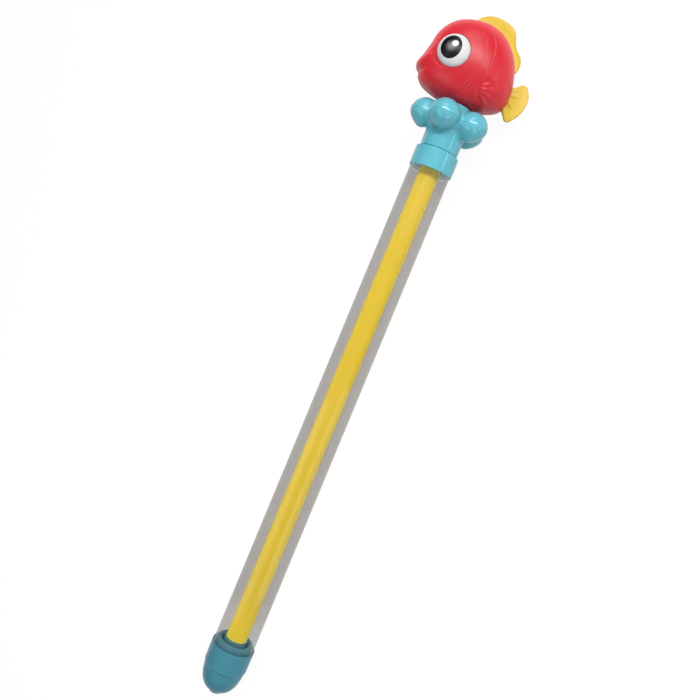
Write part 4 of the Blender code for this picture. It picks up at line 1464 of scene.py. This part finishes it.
@dataclass
class Fish:
    """The fish: two red shells, two eyes and two yellow fins. Its own sizes are in millimetres."""

    layout: Layout
    palette: Palette
    form: FishForm = field(default_factory=FishForm)
    eye: EyeForm = field(default_factory=EyeForm)
    grid: tuple[int, int] = (520, 120)
    seam_gap: float = 0.12
    seam_depth: float = 0.25
    seam_width: float = 0.35
    screw_seat: float = 3.8
    screw_well: float = 3.0
    well_sides: int = 48
    screws: tuple[str, ...] = ("fish_screw_front", "fish_screw_top", "fish_screw_rear")
    fin_voxel: float = 0.4
    fin_relaxing: int = 10
    fin_crease: float = 60.0

    def __post_init__(self) -> None:
        """Takes the belly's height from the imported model."""
        self.belly = self.layout.span("fish_left")[0]
        self.relief = FishRelief(self.eye)

    def build(self) -> None:
        """Shapes the shells, the eyes and the fins."""
        for side in Side:
            self.shell(side)
            self.dome(side)
        self.fin("back_fin", DORSAL, "dorsal_fin")
        self.fin("rear_fin", TAIL, "tail_fin")

    def lift(self, piece: bpy.types.Object, places: np.ndarray) -> None:
        """Moves a piece's vertices to places in the fish's millimetres."""
        move_points(piece, places * MM + np.array([0.0, 0.0, self.belly]))

    def half_ball(self, side: Side) -> bpy.types.Object:
        """A sheet wrapped into half a ball and pulled out to the body's outline, in millimetres.

        Args:
            side: The side of the fish.

        Returns:
            The open mesh object.
        """
        columns, rows = self.grid
        bpy.ops.object.select_all(action="DESELECT")
        bpy.ops.mesh.primitive_grid_add(x_subdivisions=columns, y_subdivisions=rows, size=2.0)
        piece = bpy.context.active_object
        piece.name = f"shell_{side.name.lower()}"
        sheet = points_of(piece)
        angle = math.pi * sheet[:, 0]
        share = np.sin(math.pi / 4 * (sheet[:, 1] + 1.0))
        reach = self.form.radius(angle) * share
        back = self.form.middle[0] + reach * np.cos(angle)
        up = self.form.middle[1] + reach * np.sin(angle)
        deep = np.maximum(self.form.width(share), self.seam_gap / 2)
        move_points(piece, np.stack([back, side.value * deep, up], axis=1))
        with editing(piece):
            bpy.ops.mesh.remove_doubles(threshold=WELD / MM)
        return piece

    def shell(self, side: Side) -> None:
        """One half of the body, with its relief, the pocket for its eye and the wells for the screws.

        Args:
            side: The side of the fish.
        """
        piece = self.half_ball(side)
        places = points_of(piece)
        normals = points_of(piece, "normal")
        outward = places - np.array([self.form.middle[0], 0.0, self.form.middle[1]])
        normals *= np.sign(np.sum(normals * outward, axis=1))[:, None]
        seam = self.seam_depth * np.exp(-((places[:, 1] / self.seam_width) ** 2))
        places += normals * (self.relief.height(places[:, [0, 2]]) - seam)[:, None]
        places[:, 1] = side.value * np.maximum(side.value * places[:, 1], self.seam_gap / 2)
        self.lift(piece, places)
        close_up(piece)
        carve(piece, self.eye_pocket(side))
        if side is Side.RIGHT:
            carve(piece, *[self.well(name) for name in self.screws])
        flank = points_of(piece)[:, [0, 2]] - np.array([0.0, self.belly])
        set_map(piece, "flank", flank / (Engraving.span * MM) + np.array([0.5, 0.0]))
        role = Role(Body.HANDLE, Slot.RED, (f"fish_{side.name.lower()}",))
        self.layout.place(piece, role, self.palette.red)

    def eye_pocket(self, side: Side) -> bpy.types.Object:
        """The solid that a shell loses for its eye.

        Args:
            side: The side of the fish.

        Returns:
            The closed mesh object.
        """
        radius = (self.eye.radius + self.eye.slack) * MM
        profile = [(radius, self.eye.back), (radius, self.eye.pocket * MM)]
        piece = lathe("eye_pocket", profile, Ending.CAPPED)
        piece.data.transform(self.eye.frame(self.form, self.belly, side))
        return piece

    def well(self, screw: str) -> bpy.types.Object:
        """The bore that a screw's head sits in, from its seat out through the right flank.

        Args:
            screw: The screw's node.

        Returns:
            The closed mesh object.
        """
        middle = self.layout.upright(screw).mean(axis=0)
        radius = self.screw_well * MM
        far = (self.form.half_width + self.screw_seat) * MM
        profile = [(radius, self.screw_seat * MM), (radius, far)]
        piece = lathe("screw_well", profile, Ending.CAPPED, self.well_sides)
        across = Matrix.Rotation(-math.pi / 2, 4, "X")
        piece.data.transform(Matrix.Translation((middle[0], 0.0, middle[2])) @ across)
        return piece

    def dome(self, side: Side) -> None:
        """One eye, a glossy dome with the print's map on it.

        Args:
            side: The side of the fish.
        """
        radius = self.eye.radius * MM
        foot = (0.0, -self.eye.sink * MM)
        profile = [(radius, self.eye.back)]
        profile += arc(foot, (radius, self.eye.dome * MM), 0.0, 90.0, count=40)
        piece = lathe(f"eye_{side.name.lower()}_dome", profile, Ending.DOMED)
        places = points_of(piece)[:, :2] / (2 * radius)
        if side is Side.RIGHT:
            places[:, 0] *= -1.0
        set_map(piece, "print", places + 0.5)
        piece.data.transform(self.eye.frame(self.form, self.belly, side))
        role = Role(Body.HANDLE, Slot.WHITE, (f"eye_{side.name.lower()}",))
        self.layout.place(piece, role, self.palette.eye)

    def blank(self, name: str, fin: FinForm) -> bpy.types.Object:
        """A fin's flat outline, made thick and soft.

        Args:
            name: The piece's name.
            fin: The fin's form.

        Returns:
            The mesh object, which lies on its side with the fin's up along Y.
        """
        curve = bpy.data.curves.new(name, "CURVE")
        curve.dimensions = "2D"
        curve.fill_mode = "BOTH"
        curve.extrude = fin.thickness * MM / 2
        spline = curve.splines.new("BEZIER")
        spline.bezier_points.add(len(fin.outline) - 1)
        spline.use_cyclic_u = True
        for knot, place in zip(spline.bezier_points, fin.outline):
            knot.co = (place[0] * MM, place[1] * MM, 0.0)
            knot.handle_left_type = knot.handle_right_type = "AUTO"
        piece = bpy.data.objects.new(name, curve)
        bpy.context.scene.collection.objects.link(piece)
        activate(piece)
        bpy.ops.object.convert(target="MESH")
        piece = bpy.context.active_object
        with editing(piece):
            bpy.ops.mesh.remove_doubles(threshold=WELD)
        one_skin(piece, self.fin_voxel * MM, self.fin_relaxing)
        return piece

    def fin(self, name: str, fin: FinForm, node: str) -> None:
        """A fin, thinner towards its edge and pressed along its rays.

        Args:
            name: The piece's name.
            fin: The fin's form.
            node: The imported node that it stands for.
        """
        piece = self.blank(name, fin)
        places = points_of(piece) / MM
        flat = places[:, :2]
        thin = 1.0 - (1.0 - fin.tip) * smooth_step((self.form.share(flat) - 1.0) / fin.overhang)
        across = places[:, 2] * thin
        across -= np.sign(across) * np.minimum(fin.press(flat), np.abs(across) / 2)
        self.lift(piece, np.stack([flat[:, 0], across, flat[:, 1]], axis=1))
        close_up(piece)
        role = Role(Body.HANDLE, Slot.YELLOW, (node,))
        self.layout.place(piece, role, self.palette.fin, self.fin_crease)


# Fasteners


@dataclass
class Hardware:
    """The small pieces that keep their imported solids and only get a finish."""

    palette: Palette
    rubber: tuple[str, ...] = ("nozzle_gasket",)
    natural: tuple[str, ...] = ("rod_foot_plug", "rod_head_plug")
    steel: tuple[str, ...] = (
        "piston_washer",
        "piston_screw",
        "handle_screw",
        "fish_screw_front",
        "fish_screw_top",
        "fish_screw_rear",
    )

    def build(self) -> None:
        """Gives each node its finish."""
        finishes = (self.palette.rubber, self.palette.natural, self.palette.steel)
        for nodes, material in zip((self.rubber, self.natural, self.steel), finishes):
            for name in nodes:
                mesh = frame["nodes"][name].data
                mesh.materials.clear()
                mesh.materials.append(material)
                LOG.info("%s: finished in %s", name, material.name)


# Studio


@dataclass(frozen=True)
class SoftBox:
    """A rectangular soft box, in the upright squirter's millimetres.

    Attributes:
        name: The light's name.
        place: Where it hangs.
        aim: The point that it faces.
        size: Its width and height.
        power: Its power in watts.
    """

    name: str
    place: Place
    aim: Place
    size: Point
    power: float


@dataclass
class Studio:
    """Camera, lights, ground and surroundings, placed in the upright squirter's frame.

    Attributes:
        layout: The upright frame.
        camera_place: Where the camera stands.
        camera_roll: How far it is turned about its view.
        lens: Its focal length in millimetres.
        sensor: Its sensor's width in millimetres.
        shift: How far the picture is moved, as shares of its width.
        lights: The soft boxes.
        sky: The strength of the light from all round.
        ground_size: The white sheet's width in metres.
        ground_glow: The share of plain white in what is seen of the sheet, beside its shadows.
        ground_white: The white's brightness in what is seen.
        ground_grey: How much light the sheet gives back.
    """

    layout: Layout
    camera_place: Place = (0.0, -506.0 * MM, 284.3 * MM)
    camera_roll: float = math.radians(22.53)
    lens: float = 38.6
    sensor: float = 36.0
    shift: Point = (-0.0378, -0.071)
    lights: tuple[SoftBox, ...] = (
        SoftBox("key_light", (-81.0, -606.0, 705.0), (0.0, 0.0, 440.0), (700.0, 110.0), 3.4),
        SoftBox("top_light", (-150.0, -390.0, 935.0), (0.0, 0.0, 440.0), (300.0, 300.0), 0.8),
        SoftBox("front_light", (0.0, -900.0, 300.0), (0.0, 0.0, 300.0), (600.0, 600.0), 0.4),
        SoftBox("side_light", (-450.0, -450.0, 250.0), (0.0, 0.0, 250.0), (300.0, 500.0), 0.42),
        SoftBox("nozzle_light", (200.0, -260.0, 60.0), (0.0, 0.0, 90.0), (200.0, 250.0), 0.4),
        SoftBox("tip_light", (-200.0, -260.0, 40.0), (0.0, 0.0, 70.0), (200.0, 250.0), 0.36),
        SoftBox("strip_light", (465.0, -350.0, 520.0), (0.0, 0.0, 420.0), (40.0, 450.0), 0.42),
        SoftBox("edge_light", (560.0, -150.0, 520.0), (0.0, 0.0, 420.0), (20.0, 450.0), 0.15),
    )
    sky: float = 0.14
    ground_size: float = 6.0
    ground_glow: float = 0.8
    ground_white: float = 0.94
    ground_grey: float = 0.4

    def build(self) -> None:
        """Sets the stage up."""
        self.camera()
        for box in self.lights:
            self.light(box)
        self.surroundings()
        self.ground()
        bpy.context.scene.view_settings.view_transform = "Standard"

    def camera(self) -> None:
        """Puts the camera before the fish's left side, turned as the photograph was taken."""
        bpy.ops.object.camera_add()
        camera = bpy.context.active_object
        upright = Matrix.Rotation(math.pi / 2, 4, "X") @ Matrix.Rotation(self.camera_roll, 4, "Z")
        camera.matrix_world = self.layout.to_world @ Matrix.Translation(self.camera_place) @ upright
        camera.data.lens = self.lens
        camera.data.sensor_width = self.sensor
        camera.data.shift_x, camera.data.shift_y = self.shift
        bpy.context.scene.camera = camera

    def light(self, box: SoftBox) -> None:
        """Hangs a soft box and aims it.

        Args:
            box: The soft box.
        """
        bpy.ops.object.light_add(type="AREA")
        lamp = bpy.context.active_object
        lamp.name = box.name
        place = Vector(box.place) * MM
        out = (place - Vector(box.aim) * MM).normalized()
        side = Vector((0.0, 0.0, 1.0)).cross(out).normalized()
        turn = Matrix((side, out.cross(side), out)).transposed().to_4x4()
        lamp.matrix_world = self.layout.to_world @ Matrix.Translation(place) @ turn
        lamp.data.shape = "RECTANGLE"
        lamp.data.size, lamp.data.size_y = box.size[0] * MM, box.size[1] * MM
        lamp.data.energy = box.power

    def surroundings(self) -> None:
        """Lights the scene evenly from all round, as pale walls do."""
        world = bpy.data.worlds.new("pale_room")
        world.use_nodes = True
        background = world.node_tree.nodes["Background"]
        background.inputs["Color"].default_value = WHITE
        background.inputs["Strength"].default_value = self.sky
        bpy.context.scene.world = world

    def ground(self) -> None:
        """Lays a white sheet that looks burnt out and still takes the squirter's soft shadow."""
        bpy.ops.object.select_all(action="DESELECT")
        bpy.ops.mesh.primitive_plane_add(size=self.ground_size)
        sheet = bpy.context.active_object
        sheet.name = "white_sheet"
        material, tree = new_material("white_paper")
        rays = add_node(tree, "LightPath", {}).outputs
        seen = rays["Is Camera Ray"]
        for kind in ("Is Glossy Ray", "Is Transmission Ray"):
            seen = add_node(tree, "Math", {0: seen, 1: rays[kind]}, operation="MAXIMUM")
        share = add_node(tree, "Math", {0: seen, 1: self.ground_glow}, operation="MULTIPLY")
        grey = (self.ground_grey, self.ground_grey, self.ground_grey, 1.0)
        paper = add_node(tree, "BsdfDiffuse", {"Color": grey})
        strength = self.ground_white / self.ground_glow
        glow = add_node(tree, "Emission", {"Color": WHITE, "Strength": strength})
        mix = add_node(tree, "MixShader", {0: share, 1: paper, 2: glow})
        add_node(tree, "OutputMaterial", {"Surface": mix})
        sheet.data.materials.append(material)


def main() -> None:
    """Builds every sub-assembly and the studio round them."""
    logging.basicConfig(level=logging.INFO, format="%(name)s %(message)s")
    layout = Layout.measured()
    palette = Palette.mixed()
    builders: tuple[Callable[[], None], ...] = (
        Barrel(layout, palette).build,
        Plunger(layout, palette).build,
        CoralKnob(layout, palette).build,
        Fish(layout, palette).build,
        Hardware(palette).build,
        Studio(layout).build,
    )
    for build in builders:
        LOG.info("building the %s", type(build.__self__).__name__)
        build()


if __name__ == "__main__":
    main()
